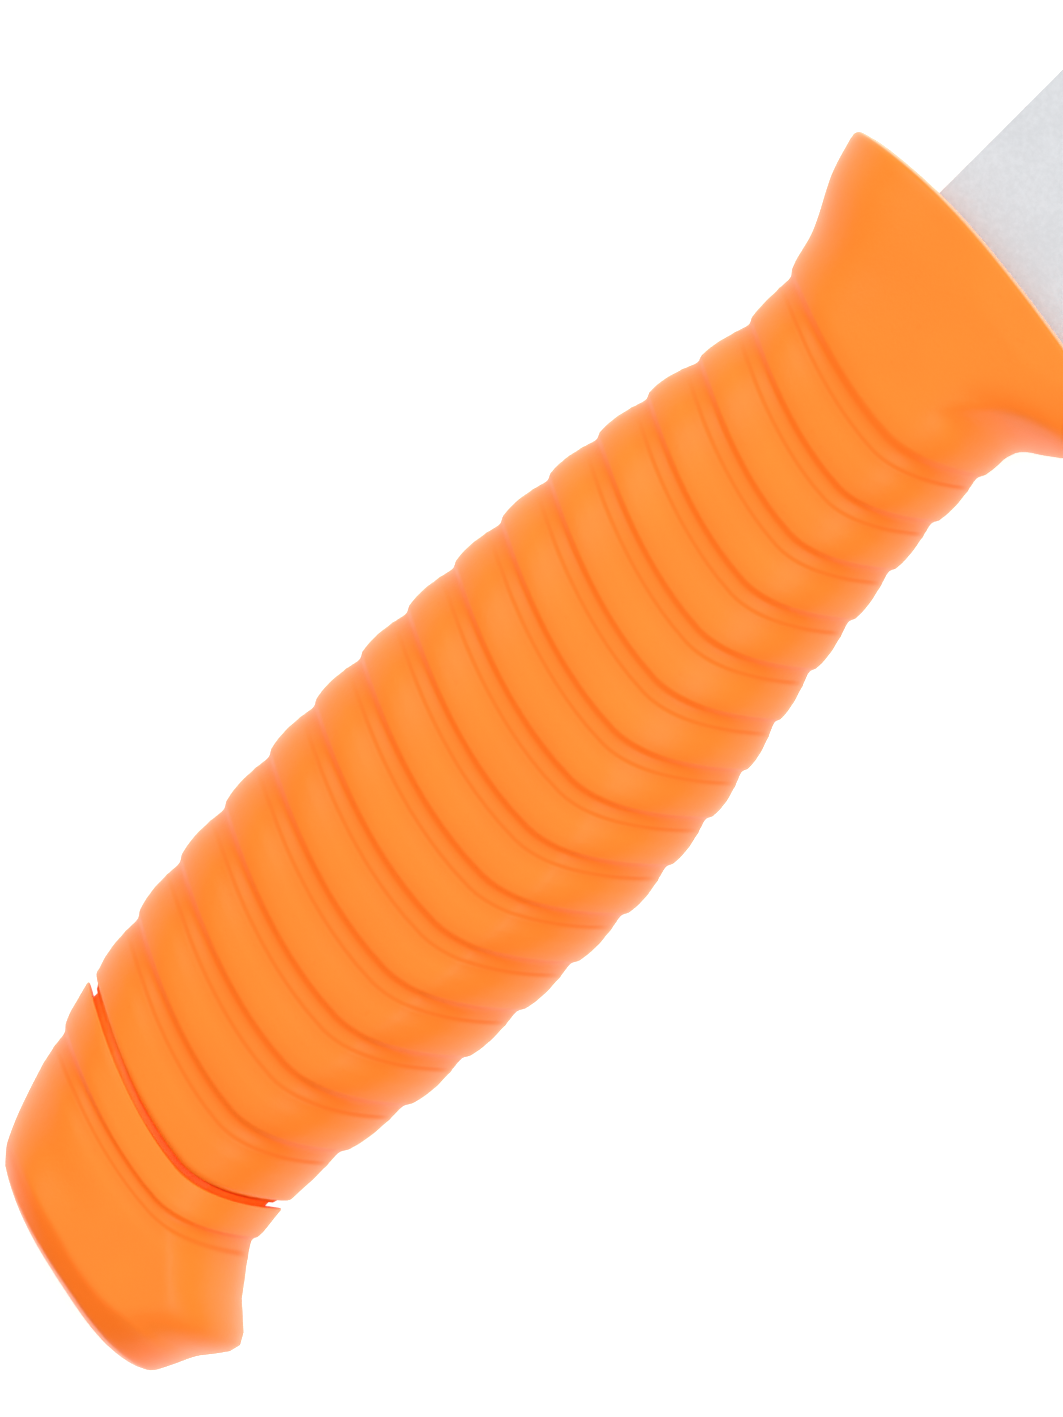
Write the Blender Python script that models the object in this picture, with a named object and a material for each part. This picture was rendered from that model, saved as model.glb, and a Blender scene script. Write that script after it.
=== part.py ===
"""Rigging knife: fixed blade, ribbed moulded handle, and a marlinspike stowed in the handle.

The knife lies on its side. Sizes are in millimetres and become metres where a mesh is made.
In the knife's own frame x = 0 is the foremost point of the guard, +X points to the blade's tip,
+Y to the blade's spine, and z = 0 is the blade's mid-plane. The empty knife_frame puts the middle
of the knife's outline over the world's origin, with the lower side of the handle on z = 0.

Stations count the handle's grooves from the guard: station 0 is the first groove, station 15
is the open joint between handle and pommel cap, and station 16 is the cap's own groove.
"""

import math

import bmesh
import bpy

MM = 0.001
GAP = 0.3

# Overall size
BLADE_LENGTH = 100.0
BUTT_X = -120.0
QUILLON_Y = 17.6
HOOK_Y = -18.4
LAND_Z = 12.0

# Handle: stations, and where the curved groove lines end on the outline
GUARD_STATION = -2.4
JOINT_STATION = 15
BUTT_STATION = 18.0
CAP_GROOVE_STATION = 16
JOINT_HALF_WIDTH = 0.06
SPINE_ENDS = ((-2.4, -2.1), (0, -14.9), (5, -41.8), (10, -69.5), (15, -98.6), (16, -104.1),
              (17, -110.2), (18, -115.0))
BELLY_ENDS = ((-2.4, -6.7), (-1, -10.4), (0, -15.8), (4, -37.5), (8, -57.9), (12, -81.8),
              (15, -100.7), (16, -105.2), (17, -111.8), (18, -119.2))

# Handle outline: spine side and belly side, as (x, y)
SPINE_LINE = ((-115.0, 6.6), (-113.4, 7.9), (-106.4, 10.5), (-98.6, 12.7), (-82.7, 15.1),
              (-64.0, 16.15), (-44.9, 15.8), (-30.0, 14.5), (-18.0, 12.8), (-11.2, 13.9),
              (-5.1, 16.7), (-2.1, QUILLON_Y))
BELLY_LINE = ((-119.2, -13.4), (-118.5, -14.6), (-117.4, -15.25), (-115.1, -16.35),
              (-111.8, HOOK_Y), (-108.3, -15.3), (-104.2, -13.1), (-100.0, -12.7), (-83.7, -14.7),
              (-63.0, -15.9), (-51.1, -15.1), (-35.7, -12.4), (-19.0, -10.95), (-12.6, -11.05),
              (-11.4, -11.35), (-10.7, -11.9), (-9.8, -13.2), (-6.7, -17.3))

# Handle section at a station: half thickness, place of the side ridge, bow of the groove lines,
# and how full the section is towards the spine and towards the belly (2 is an ellipse)
HALF_THICKNESS = ((-2.4, 12.3), (-1.2, 11.6), (1, 10.5), (3, 10.7), (6, 12.0), (9, 12.7),
                  (12, 12.4), (15, 11.7), (16.8, 12.4), (17.5, 12.2), (17.8, 11.3), (17.93, 9.8),
                  (18, 7.8))
SIDE_RIDGE = ((-2.4, 0.2), (0, 0.3), (16, 0.3), (18, 0.1))
LINE_BOW = ((-2.4, -2.5), (-1.2, 0.2), (0, 3.9), (4, 5.0), (8, 6.2), (15, 4.5), (18, 1.55))
BOW_POWER = ((-2.4, 2.7), (-1.2, 1.8), (16.5, 1.8), (18, 3.0))
SPINE_FULLNESS = ((-2.4, 2.3), (0, 2.4), (15, 2.4), (18, 2.6))
BELLY_FULLNESS = ((-2.4, 4.2), (-1.8, 3.9), (-1.0, 2.1), (15, 2.1), (18, 2.6))
CORE_FULLNESS = 2.3
SECTION_LEVELS = 16

# One groove and the rib behind it: (station offset, depth), steep towards the blade
GROOVE_DEPTH = 0.45
RIB_EDGE_DROP = 0.1
GROOVE_PROFILE = ((-0.15, RIB_EDGE_DROP), (-0.11, GROOVE_DEPTH), (0.03, GROOVE_DEPTH),
                  (0.15, RIB_EDGE_DROP), (0.4, 0.0), (0.64, 0.0))
RIM_ROUND = 0.9

# Hollow for the forefinger behind the guard: a round scoop that thins the handle
SCOOP_CENTRE = (-22.2, -15.6)
SCOOP_RADIUS = 14.5
SCOOP_EDGE = 2.4
SCOOP_FADE_X = (-15.0, -11.5)
SCOOP_THINNING = 0.16

# Steps of the grip's and the cap's skins: rims as (station offset or depth, depth or reach)
JOINT_RIM = ((0.0, 0.5), (0.04, 0.15))
GUARD_RIM = ((0.25, 0.65), (RIM_ROUND, RIM_ROUND))
GUARD_STEPS = (-0.5, -0.8, -1.1, -1.4, -1.7, -2.0, -2.2, GUARD_STATION)
CAP_FRONT_STEP = 0.5
BUTT_STEPS = (16.85, 17.0, 17.2, 17.4, 17.58, 17.72, 17.84, 17.93, BUTT_STATION)

# Core of the handle under the moulded grip, as (x, value)
CORE_FRONT_X = -6.5
CORE_TOP = ((-101.0, 11.4), (-80.0, 12.3), (-60.0, 13.3), (-42.0, 12.8), (-26.0, 10.6),
            (-18.0, 9.9), (-6.0, 9.9))
CORE_LOW = ((-101.0, -11.5), (-80.0, -12.1), (-63.0, -13.0), (-50.0, -12.0), (-38.0, -9.8),
            (-25.0, -8.5), (-6.0, -8.5))
CORE_HALF_THICKNESS = ((-101.0, 10.3), (-60.0, 9.9), (-40.0, 9.0), (-25.0, 7.7), (-6.0, 7.7))
CORE_RINGS = 8

# Core of the pommel cap, as (share of the way from the joint to the back, value); in front of
# the joint it is a spigot that closes the handle's mouth, in a recess of the handle's core
SPIGOT_LENGTH = 4.0
RECESS_LENGTH = 4.6
CAP_CORE_BACK_X = -114.4
CAP_CORE_TOP = ((0, 11.4), (0.5, 7.6), (0.85, 5.0), (1, 3.4))
CAP_CORE_LOW = ((0, -11.5), (0.5, -10.9), (0.85, -11.6), (1, -10.8))
CAP_CORE_HALF_THICKNESS = ((0, 10.2), (0.5, 9.2), (0.85, 8.4), (1, 7.0))
CAP_CORE_RINGS = 5

# Blade and tang
BLADE_THICKNESS = 3.0
SPINE_Y = 8.9
EDGE_Y = -11.6
BEVEL_HEIGHT = 4.5
EDGE_THICKNESS = 0.3
RICASSO_LENGTH = 7.0
TIP_DROP_LENGTH = 30.0
TIP_NOSE = 1.6
SHOULDER_X = -3.0
FLAT_START_X = 0.5
TANG_TOP_Y = 8.3
TANG_WIDE_LOW_Y = -4.5
TANG_NARROW_LOW_Y = 3.4
TANG_STEP_X = (-23.0, -29.0)
TANG_END_X = -84.0
TANG_CORNER = 1.0
TIP_STEPS = 14

# Pins through the tang: (x, y, radius, half length)
FRONT_PIN = (-15.0, 1.8, 1.6, 7.0)
REAR_PIN = (-62.0, 5.9, 1.0, 7.6)
PIN_SIDES = 20

# Marlinspike, its socket and its O-rings; the spike slides along a line at SPIKE_Y
SPIKE_Y = -2.8
SPIKE_TIP_X = -34.0
SPIKE_SHANK_X = -88.0
SPIKE_SHOULDER_X = -99.5
SPIKE_TAIL_X = -113.0
SHANK_RADIUS = 3.5
TENON_RADIUS = 2.8
TIP_RADIUS = 0.9
TAPER_POWER = 1.3
TAPER_STEPS = 5
TIP_ROUND_STEPS = 3
TENON_CHAMFER = 0.4
SPIKE_SIDES = 24
SOCKET_FRONT_X = -31.0
SOCKET_MOUTH_X = -97.9
SOCKET_INNER_RADIUS = 4.2
SOCKET_WALL = 0.7
SOCKET_CHAMFER = 0.6
SOCKET_SIDES = 28
RING_GROOVE_X = (-91.0, -95.0)
RING_GROOVE_RADIUS = 2.6
RING_CORD_RADIUS = 0.5
RING_CORD_SIDES = 10
CAP_PIN_X = -109.5
CAP_PIN_RADIUS = 1.0
CAP_PIN_HALF_LENGTH = 7.4

# How far a cutter runs past what it cuts
CUTTER_MARGIN = 3.0

# name: (colour, roughness, metallic)
MATERIALS = {
    "orange_rubber": ((0.96, 0.26, 0.035, 1), 0.55, 0.0),
    "core_plastic": ((0.90, 0.17, 0.02, 1), 0.4, 0.0),
    "satin_steel": ((0.70, 0.72, 0.74, 1), 0.32, 1.0),
    "pin_steel": ((0.52, 0.53, 0.55, 1), 0.4, 1.0),
    "socket_plastic": ((0.75, 0.74, 0.70, 1), 0.4, 0.0),
    "black_rubber": ((0.015, 0.015, 0.015, 1), 0.7, 0.0),
}


# ---------------------------------------------------------------- scene and materials

def clear_scene():
    for old in list(bpy.data.objects):
        bpy.data.objects.remove(old, do_unlink=True)


def material(name):
    found = bpy.data.materials.get(name)
    if found:
        return found
    colour, roughness, metallic = MATERIALS[name]
    new = bpy.data.materials.new(name)
    new.use_nodes = True
    shader = new.node_tree.nodes["Principled BSDF"]
    shader.inputs["Base Color"].default_value = colour
    shader.inputs["Roughness"].default_value = roughness
    shader.inputs["Metallic"].default_value = metallic
    new.diffuse_color = colour
    return new


def add_empty(name, location, parent=None):
    empty = bpy.data.objects.new(name, None)
    empty.location = [value * MM for value in location]
    empty.parent = parent
    bpy.context.scene.collection.objects.link(empty)
    return empty


def add_piece(name, mesh_source, material_name, parent, location=(0, 0, 0)):
    """Turn a bmesh in millimetres into a smooth-shaded object in metres."""
    bmesh.ops.scale(mesh_source, vec=(MM, MM, MM), verts=mesh_source.verts)
    bmesh.ops.recalc_face_normals(mesh_source, faces=mesh_source.faces)
    mesh = bpy.data.meshes.new(name)
    mesh_source.to_mesh(mesh)
    mesh_source.free()
    mesh.shade_smooth()
    mesh.set_sharp_from_angle(angle=math.radians(35))
    piece = bpy.data.objects.new(name, mesh)
    piece.location = [value * MM for value in location]
    piece.parent = parent
    bpy.context.scene.collection.objects.link(piece)
    if material_name:
        mesh.materials.append(material(material_name))
    return piece


def cut(piece, cutters):
    """Subtract each cutter from the piece."""
    for cutter in cutters:
        cutter.hide_render = True
        cutter.display_type = "WIRE"
        modifier = piece.modifiers.new(cutter.name, "BOOLEAN")
        modifier.operation = "DIFFERENCE"
        modifier.solver = "EXACT"
        modifier.object = cutter


# ---------------------------------------------------------------- curves and loops of points

def secant(points, k):
    (x0, y0), (x1, y1) = points[k], points[k + 1]
    return (y1 - y0) / (x1 - x0)


def slope_at(points, k):
    """Slope that lets a curve pass point k without overshooting its neighbours."""
    if k == 0:
        return secant(points, 0)
    if k == len(points) - 1:
        return secant(points, k - 1)
    before, after = secant(points, k - 1), secant(points, k)
    if before * after <= 0:
        return 0.0
    return 2 * before * after / (before + after)


def through(points, x):
    """Smooth curve through (x, y) points in rising order of x, level beyond both ends."""
    x = min(max(x, points[0][0]), points[-1][0])
    k = 0
    while k < len(points) - 2 and x > points[k + 1][0]:
        k += 1
    (x0, y0), (x1, y1) = points[k], points[k + 1]
    width = x1 - x0
    s = (x - x0) / width
    start = y0 * (1 + 2 * s) * (1 - s) ** 2 + slope_at(points, k) * width * s * (1 - s) ** 2
    end = y1 * (3 - 2 * s) * s ** 2 - slope_at(points, k + 1) * width * s ** 2 * (1 - s)
    return start + end


def section_levels(spine_fullness, belly_fullness):
    """(across, out, fullness) down one side of an oval: across runs from -1 at the spine to 1."""
    for level in range(SECTION_LEVELS + 1):
        angle = math.pi * (level / SECTION_LEVELS - 0.5)
        fullness = spine_fullness if angle < 0 else belly_fullness
        across = math.copysign(abs(math.sin(angle)) ** (2 / fullness), angle)
        out = max(math.cos(angle), 0.0) ** (2 / fullness)
        if level in (0, SECTION_LEVELS):
            out = 0.0
        yield across, out, fullness


def both_sides(side):
    """Close a run of points on the +Z side into a loop, by its mirror image."""
    mirrored = [(x, y, -z) for x, y, z in reversed(side[1:-1])]
    return side + mirrored


def outline_at(station):
    """The two ends of a station's line, on the spine and on the belly."""
    top_x = through(SPINE_ENDS, station)
    low_x = through(BELLY_ENDS, station)
    return (top_x, through(SPINE_LINE, top_x)), (low_x, through(BELLY_LINE, low_x))


def line_x(station, share, across):
    """x on a station's bowed line: share runs from -1 at the spine to 1 at the belly."""
    (top_x, _), (low_x, _) = outline_at(station)
    straight = top_x + (low_x - top_x) * (share + 1) / 2
    bow = 1 - abs(across) ** through(BOW_POWER, station)
    return straight - through(LINE_BOW, station) * bow


def line_x_at_height(station, y):
    """x on a station's bowed line at height y."""
    (_, top_y), (_, low_y) = outline_at(station)
    share = ((top_y + low_y) / 2 - y) / ((top_y - low_y) / 2)
    ridge = through(SIDE_RIDGE, station)
    reach = 1 + ridge if share < ridge else 1 - ridge
    return line_x(station, share, (share - ridge) / reach)


def ease(low, high, x):
    """0 below low, 1 above high, and a soft step between."""
    s = min(max((x - low) / (high - low), 0.0), 1.0)
    return s * s * (3 - 2 * s)


def scooped(x, y):
    """Share of the handle's thickness that is left where the forefinger's scoop cuts in."""
    reach = math.hypot(x - SCOOP_CENTRE[0], y - SCOOP_CENTRE[1])
    inside = 1 - ease(SCOOP_RADIUS - SCOOP_EDGE, SCOOP_RADIUS, reach)
    return 1 - SCOOP_THINNING * inside * ease(*SCOOP_FADE_X, x)


def handle_loop(station, depth=0.0, forward=0.0):
    """Loop round the outside of the handle at a station, sunk by depth and moved forward."""
    (_, top_y), (_, low_y) = outline_at(station)
    half_height = (top_y - low_y) / 2
    half_thickness = through(HALF_THICKNESS, station)
    ridge = through(SIDE_RIDGE, station)
    fullnesses = through(SPINE_FULLNESS, station), through(BELLY_FULLNESS, station)
    side = []
    for across, out, fullness in section_levels(*fullnesses):
        reach = 1 + ridge if across < 0 else 1 - ridge
        share = ridge + across * reach
        y = (top_y + low_y) / 2 - share * half_height
        z = out * half_thickness
        steep_y = -math.copysign(abs(across) ** (fullness - 1), across) / (reach * half_height)
        steep_z = out ** (fullness - 1) / half_thickness
        if z > LAND_Z:
            z = LAND_Z
            steep_y = 0.0
        steepness = math.hypot(steep_y, steep_z)
        x = line_x(station, share, across) + forward
        z = z * scooped(x, y) - depth * steep_z / steepness
        side.append((x, y - depth * steep_y / steepness, z))
    return both_sides(side)


def core_loop(x_at, top, low, half_thickness, clearance=0.0):
    """Oval loop of a core: x_at gives x at a height."""
    half_height = (top - low) / 2 + clearance
    side = []
    for across, out, _ in section_levels(CORE_FULLNESS, CORE_FULLNESS):
        y = (top + low) / 2 - across * half_height
        side.append((x_at(y), y, out * (half_thickness + clearance)))
    return both_sides(side)


def slot_loop(x_at):
    """Loop of the slot in the guard that the blade comes out of."""
    top = SPINE_Y + GAP
    low = EDGE_Y - GAP
    half_width = BLADE_THICKNESS / 2 + GAP
    side = [(x_at(top), top, 0.0)]
    corners = SECTION_LEVELS - 2
    for step in range(corners + 1):
        y = top + (low - top) * step / corners
        side.append((x_at(y), y, half_width))
    side.append((x_at(low), low, 0.0))
    return both_sides(side)


# ---------------------------------------------------------------- meshes

def loft(loops, closed_ring=False):
    """Skin equal loops one after the other; either both ends are closed or the last meets the first."""
    bm = bmesh.new()
    rows = [[bm.verts.new(point) for point in loop] for loop in loops]
    pairs = list(zip(rows, rows[1:]))
    if closed_ring:
        pairs.append((rows[-1], rows[0]))
    for row, following in pairs:
        for k in range(len(row)):
            n = (k + 1) % len(row)
            bm.faces.new((row[k], row[n], following[n], following[k]))
    if not closed_ring:
        close_end(bm, rows[0])
        close_end(bm, rows[-1])
    return bm


def close_end(bm, row):
    """Close a loop with a ladder of faces from its +Z side to its -Z side."""
    bm.faces.new((row[0], row[1], row[-1]))
    for k in range(1, SECTION_LEVELS - 1):
        bm.faces.new((row[k], row[k + 1], row[-k - 1], row[-k]))
    bm.faces.new((row[SECTION_LEVELS - 1], row[SECTION_LEVELS], row[SECTION_LEVELS + 1]))


def turned(profile, steps, closed=False):
    """Turn a profile of (x, radius) points round the X axis."""
    bm = bmesh.new()
    verts = [bm.verts.new((x, radius, 0)) for x, radius in profile]
    edges = [bm.edges.new(pair) for pair in zip(verts, verts[1:])]
    if closed:
        edges.append(bm.edges.new((verts[-1], verts[0])))
    bmesh.ops.spin(bm, geom=verts + edges, cent=(0, 0, 0), axis=(1, 0, 0),
                   angle=2 * math.pi, steps=steps, use_merge=True)
    bmesh.ops.remove_doubles(bm, verts=bm.verts, dist=0.001)
    return bm


def extruded(outline, low_z, high_z):
    """Extrude an (x, y) outline between two heights."""
    bm = bmesh.new()
    verts = [bm.verts.new((x, y, low_z)) for x, y in outline]
    base = bm.faces.new(verts)
    made = bmesh.ops.extrude_face_region(bm, geom=[base])
    moved = [part for part in made["geom"] if isinstance(part, bmesh.types.BMVert)]
    bmesh.ops.translate(bm, vec=(0, 0, high_z - low_z), verts=moved)
    return bm


def rod(radius, half_length):
    """Cylinder along Z, centred on its own origin."""
    bm = bmesh.new()
    bmesh.ops.create_cone(bm, cap_ends=True, segments=PIN_SIDES, radius1=radius, radius2=radius,
                          depth=2 * half_length)
    return bm


# ---------------------------------------------------------------- blade

def blade_outline():
    """Sheepsfoot blade: straight edge, and a spine that drops to the tip in a quarter ellipse."""
    drop_x = BLADE_LENGTH - TIP_DROP_LENGTH
    drop = SPINE_Y - EDGE_Y - TIP_NOSE
    points = [(SHOULDER_X, EDGE_Y), (BLADE_LENGTH - TIP_NOSE, EDGE_Y)]
    for step in range(TIP_STEPS + 1):
        angle = math.pi / 2 * (1 - step / TIP_STEPS)
        x = drop_x + TIP_DROP_LENGTH * math.sin(angle)
        points.append((x, SPINE_Y - drop * (1 - math.cos(angle))))
    points.append((SHOULDER_X, SPINE_Y))
    return points


def tang_outline(clearance, front_x):
    """Tang from front_x back: wide behind the guard, narrow above the spike's socket."""
    top = TANG_TOP_Y + clearance
    wide = TANG_WIDE_LOW_Y - clearance
    narrow = TANG_NARROW_LOW_Y - clearance
    end = TANG_END_X - clearance
    inner_end = end + TANG_CORNER
    step_start, step_end = TANG_STEP_X
    return [(front_x, top), (inner_end, top), (end, top - TANG_CORNER), (end, narrow + TANG_CORNER),
            (inner_end, narrow), (step_end - clearance, narrow), (step_start - clearance, wide),
            (front_x, wide)]


def pin_cutter(name, pin, parent):
    x, y, radius, half_length = pin
    hole = rod(radius + GAP, half_length + CUTTER_MARGIN)
    return add_piece(name, hole, None, parent, (x, y, 0))


def bevel_cutter(name, side, parent):
    """Wedge that grinds one side of the cutting edge from the ricasso to the tip."""
    thick = side * BLADE_THICKNESS / 2
    thin = side * EDGE_THICKNESS / 2
    outward = side * (BLADE_THICKNESS / 2 + CUTTER_MARGIN)
    top = EDGE_Y + BEVEL_HEIGHT
    low = EDGE_Y - CUTTER_MARGIN
    length = BLADE_LENGTH + CUTTER_MARGIN - RICASSO_LENGTH
    slope = (thick - thin) / BEVEL_HEIGHT
    wedge = ((top, thick), (low, thin - slope * CUTTER_MARGIN), (low, outward), (top, outward))
    bm = bmesh.new()
    verts = [bm.verts.new((RICASSO_LENGTH, y, z)) for y, z in wedge]
    made = bmesh.ops.extrude_face_region(bm, geom=[bm.faces.new(verts)])
    moved = [part for part in made["geom"] if isinstance(part, bmesh.types.BMVert)]
    bmesh.ops.translate(bm, vec=(length, 0, 0), verts=moved)
    return add_piece(name, bm, None, parent)


def build_blade(frame):
    """Blade and tang in one piece of steel."""
    half = BLADE_THICKNESS / 2
    steel = extruded(blade_outline() + tang_outline(0.0, SHOULDER_X), -half, half)
    bmesh.ops.bisect_plane(steel, geom=steel.verts[:] + steel.edges[:] + steel.faces[:],
                           plane_co=(FLAT_START_X, 0, 0), plane_no=(1, 0, 0))
    blade = add_piece("blade", steel, "satin_steel", frame)
    cut(blade, [
        bevel_cutter("cut_bevel_right", 1, frame),
        bevel_cutter("cut_bevel_left", -1, frame),
        pin_cutter("cut_tang_hole_front", FRONT_PIN, frame),
        pin_cutter("cut_tang_hole_rear", REAR_PIN, frame),
    ])
    return blade


# ---------------------------------------------------------------- handle

def grip_front_x(y):
    """x of the guard's front face at height y: one arc seen from the side."""
    return line_x_at_height(GUARD_STATION, y) + RIM_ROUND


def grip_outer_loops():
    """From the rim at the joint forward to the guard's front face."""
    end = JOINT_STATION - JOINT_HALF_WIDTH
    loops = [handle_loop(end - offset, depth) for offset, depth in JOINT_RIM]
    for groove in reversed(range(JOINT_STATION)):
        for offset, depth in reversed(GROOVE_PROFILE):
            loops.append(handle_loop(groove + offset, depth))
    loops += [handle_loop(station) for station in GUARD_STEPS]
    loops += [handle_loop(GUARD_STATION, depth, forward) for depth, forward in GUARD_RIM]
    return loops


def core_loops(clearance, front_x, recess):
    """From the core's flat front back to its bowed end, a recess short of the joint."""
    end_station = JOINT_STATION - JOINT_HALF_WIDTH
    back_x = line_x_at_height(end_station, 0.0) + recess
    loops = []
    for ring in range(CORE_RINGS + 1):
        way = ring / CORE_RINGS
        x = front_x + (back_x - front_x) * way

        def x_at(y, way=way):
            return front_x * (1 - way) + (line_x_at_height(end_station, y) + recess) * way

        loops.append(core_loop(x_at, through(CORE_TOP, x), through(CORE_LOW, x),
                               through(CORE_HALF_THICKNESS, x), clearance))
    return loops


def build_grip_sleeve(frame):
    """Soft ribbed grip with the guard, open at the joint and slotted for the blade."""
    cavity_front_x = CORE_FRONT_X + GAP
    loops = grip_outer_loops()
    loops.append(slot_loop(grip_front_x))
    loops.append(slot_loop(lambda y: cavity_front_x))
    loops += core_loops(GAP, cavity_front_x, 0.0)
    return add_piece("grip_sleeve", loft(loops, closed_ring=True), "orange_rubber", frame)


def build_grip_core(frame):
    """Hard core that holds the tang above and the spike's socket below."""
    loops = core_loops(0.0, CORE_FRONT_X, RECESS_LENGTH)
    core = add_piece("grip_core", loft(loops), "core_plastic", frame)
    slot_half = BLADE_THICKNESS / 2 + GAP
    tang_slot = extruded(tang_outline(GAP, CORE_FRONT_X + CUTTER_MARGIN), -slot_half, slot_half)
    bore_radius = SOCKET_INNER_RADIUS + SOCKET_WALL + GAP
    bore = turned([(SOCKET_FRONT_X + GAP, 0), (SOCKET_FRONT_X + GAP, bore_radius),
                   (BUTT_X, bore_radius), (BUTT_X, 0)], SOCKET_SIDES)
    cut(core, [
        add_piece("cut_tang_slot", tang_slot, None, frame),
        add_piece("cut_socket_bore", bore, None, frame, (0, SPIKE_Y, 0)),
        pin_cutter("cut_core_hole_front", FRONT_PIN, frame),
        pin_cutter("cut_core_hole_rear", REAR_PIN, frame),
    ])
    return core


def build_tang_pins(frame):
    for name, pin in (("tang_pin_front", FRONT_PIN), ("tang_pin_rear", REAR_PIN)):
        x, y, radius, half_length = pin
        add_piece(name, rod(radius, half_length), "pin_steel", frame, (x, y, 0))


def build_spike_socket(frame):
    """Thin liner tube, closed in front and open at the joint."""
    outer = SOCKET_INNER_RADIUS + SOCKET_WALL
    inner_front = SOCKET_FRONT_X - SOCKET_WALL
    profile = [(SOCKET_FRONT_X, 0), (SOCKET_FRONT_X, outer - SOCKET_CHAMFER),
               (SOCKET_FRONT_X - SOCKET_CHAMFER, outer), (SOCKET_MOUTH_X, outer),
               (SOCKET_MOUTH_X, SOCKET_INNER_RADIUS), (inner_front, SOCKET_INNER_RADIUS),
               (inner_front, 0)]
    tube = turned(profile, SOCKET_SIDES)
    add_piece("spike_socket", tube, "socket_plastic", frame, (0, SPIKE_Y, 0))


# ---------------------------------------------------------------- marlinspike and pommel cap

def spike_profile():
    """Tenon in the cap, shank with two O-ring grooves, long taper and a blunt tip."""
    groove_half = RING_CORD_RADIUS + GAP
    profile = [(SPIKE_TAIL_X, 0), (SPIKE_TAIL_X, TENON_RADIUS - TENON_CHAMFER),
               (SPIKE_TAIL_X + TENON_CHAMFER, TENON_RADIUS), (SPIKE_SHOULDER_X, TENON_RADIUS),
               (SPIKE_SHOULDER_X, SHANK_RADIUS)]
    for x in reversed(RING_GROOVE_X):
        profile += [(x - groove_half, SHANK_RADIUS), (x - groove_half, RING_GROOVE_RADIUS),
                    (x + groove_half, RING_GROOVE_RADIUS), (x + groove_half, SHANK_RADIUS)]
    profile.append((SPIKE_SHANK_X, SHANK_RADIUS))
    taper = SPIKE_TIP_X - TIP_RADIUS - SPIKE_SHANK_X
    for step in range(1, TAPER_STEPS + 1):
        way = step / TAPER_STEPS
        radius = TIP_RADIUS + (SHANK_RADIUS - TIP_RADIUS) * (1 - way ** TAPER_POWER)
        profile.append((SPIKE_SHANK_X + taper * way, radius))
    for step in range(1, TIP_ROUND_STEPS + 1):
        angle = math.pi / 2 * step / TIP_ROUND_STEPS
        radius = TIP_RADIUS * math.cos(angle) if step < TIP_ROUND_STEPS else 0.0
        profile.append((SPIKE_TIP_X - TIP_RADIUS * (1 - math.sin(angle)), radius))
    return profile


def build_spike(axis):
    spike = add_piece("marlinspike", turned(spike_profile(), SPIKE_SIDES), "satin_steel", axis)
    hole = rod(CAP_PIN_RADIUS + GAP, TENON_RADIUS + CUTTER_MARGIN)
    cut(spike, [add_piece("cut_tenon_hole", hole, None, axis, (CAP_PIN_X, 0, 0))])


def build_o_rings(axis):
    middle = RING_GROOVE_RADIUS + GAP + RING_CORD_RADIUS
    circle = []
    for step in range(RING_CORD_SIDES):
        angle = 2 * math.pi * step / RING_CORD_SIDES
        circle.append((RING_CORD_RADIUS * math.cos(angle),
                       middle + RING_CORD_RADIUS * math.sin(angle)))
    for name, x in zip(("o_ring_front", "o_ring_rear"), RING_GROOVE_X):
        ring = turned(circle, SPIKE_SIDES, closed=True)
        add_piece(name, ring, "black_rubber", axis, (x, 0, 0))


def cap_core_loops(clearance):
    """From the cap's mouth at the joint back to the flat end of its core."""
    mouth_station = JOINT_STATION + JOINT_HALF_WIDTH
    loops = []
    for ring in range(CAP_CORE_RINGS + 1):
        way = ring / CAP_CORE_RINGS
        back_x = CAP_CORE_BACK_X - clearance

        def x_at(y, way=way, back_x=back_x):
            return line_x_at_height(mouth_station, y) * (1 - way) + back_x * way

        loops.append(core_loop(x_at, through(CAP_CORE_TOP, way), through(CAP_CORE_LOW, way),
                               through(CAP_CORE_HALF_THICKNESS, way), clearance))
    return loops


def build_cap_core(frame, axis):
    """Hard core of the cap with its spigot, bored for the spike's tenon and its cross pin."""
    loops = cap_core_loops(0.0)
    spigot_end = [(x + SPIGOT_LENGTH, y, z) for x, y, z in loops[0]]
    core = add_piece("cap_core", loft([spigot_end] + loops), "core_plastic", frame)
    radius = TENON_RADIUS + GAP
    bore_front_x = SPIKE_SHOULDER_X + CUTTER_MARGIN
    bore = turned([(bore_front_x, 0), (bore_front_x, radius),
                   (SPIKE_TAIL_X - GAP, radius), (SPIKE_TAIL_X - GAP, 0)], SPIKE_SIDES)
    pin_hole = rod(CAP_PIN_RADIUS + GAP, LAND_Z + CUTTER_MARGIN)
    cut(core, [
        add_piece("cut_tenon_bore", bore, None, axis),
        add_piece("cut_cap_pin_hole", pin_hole, None, axis, (CAP_PIN_X, 0, 0)),
    ])
    return core


def build_cap_pin(axis):
    add_piece("cap_cross_pin", rod(CAP_PIN_RADIUS, CAP_PIN_HALF_LENGTH), "pin_steel", axis,
              (CAP_PIN_X, 0, 0))


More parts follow.
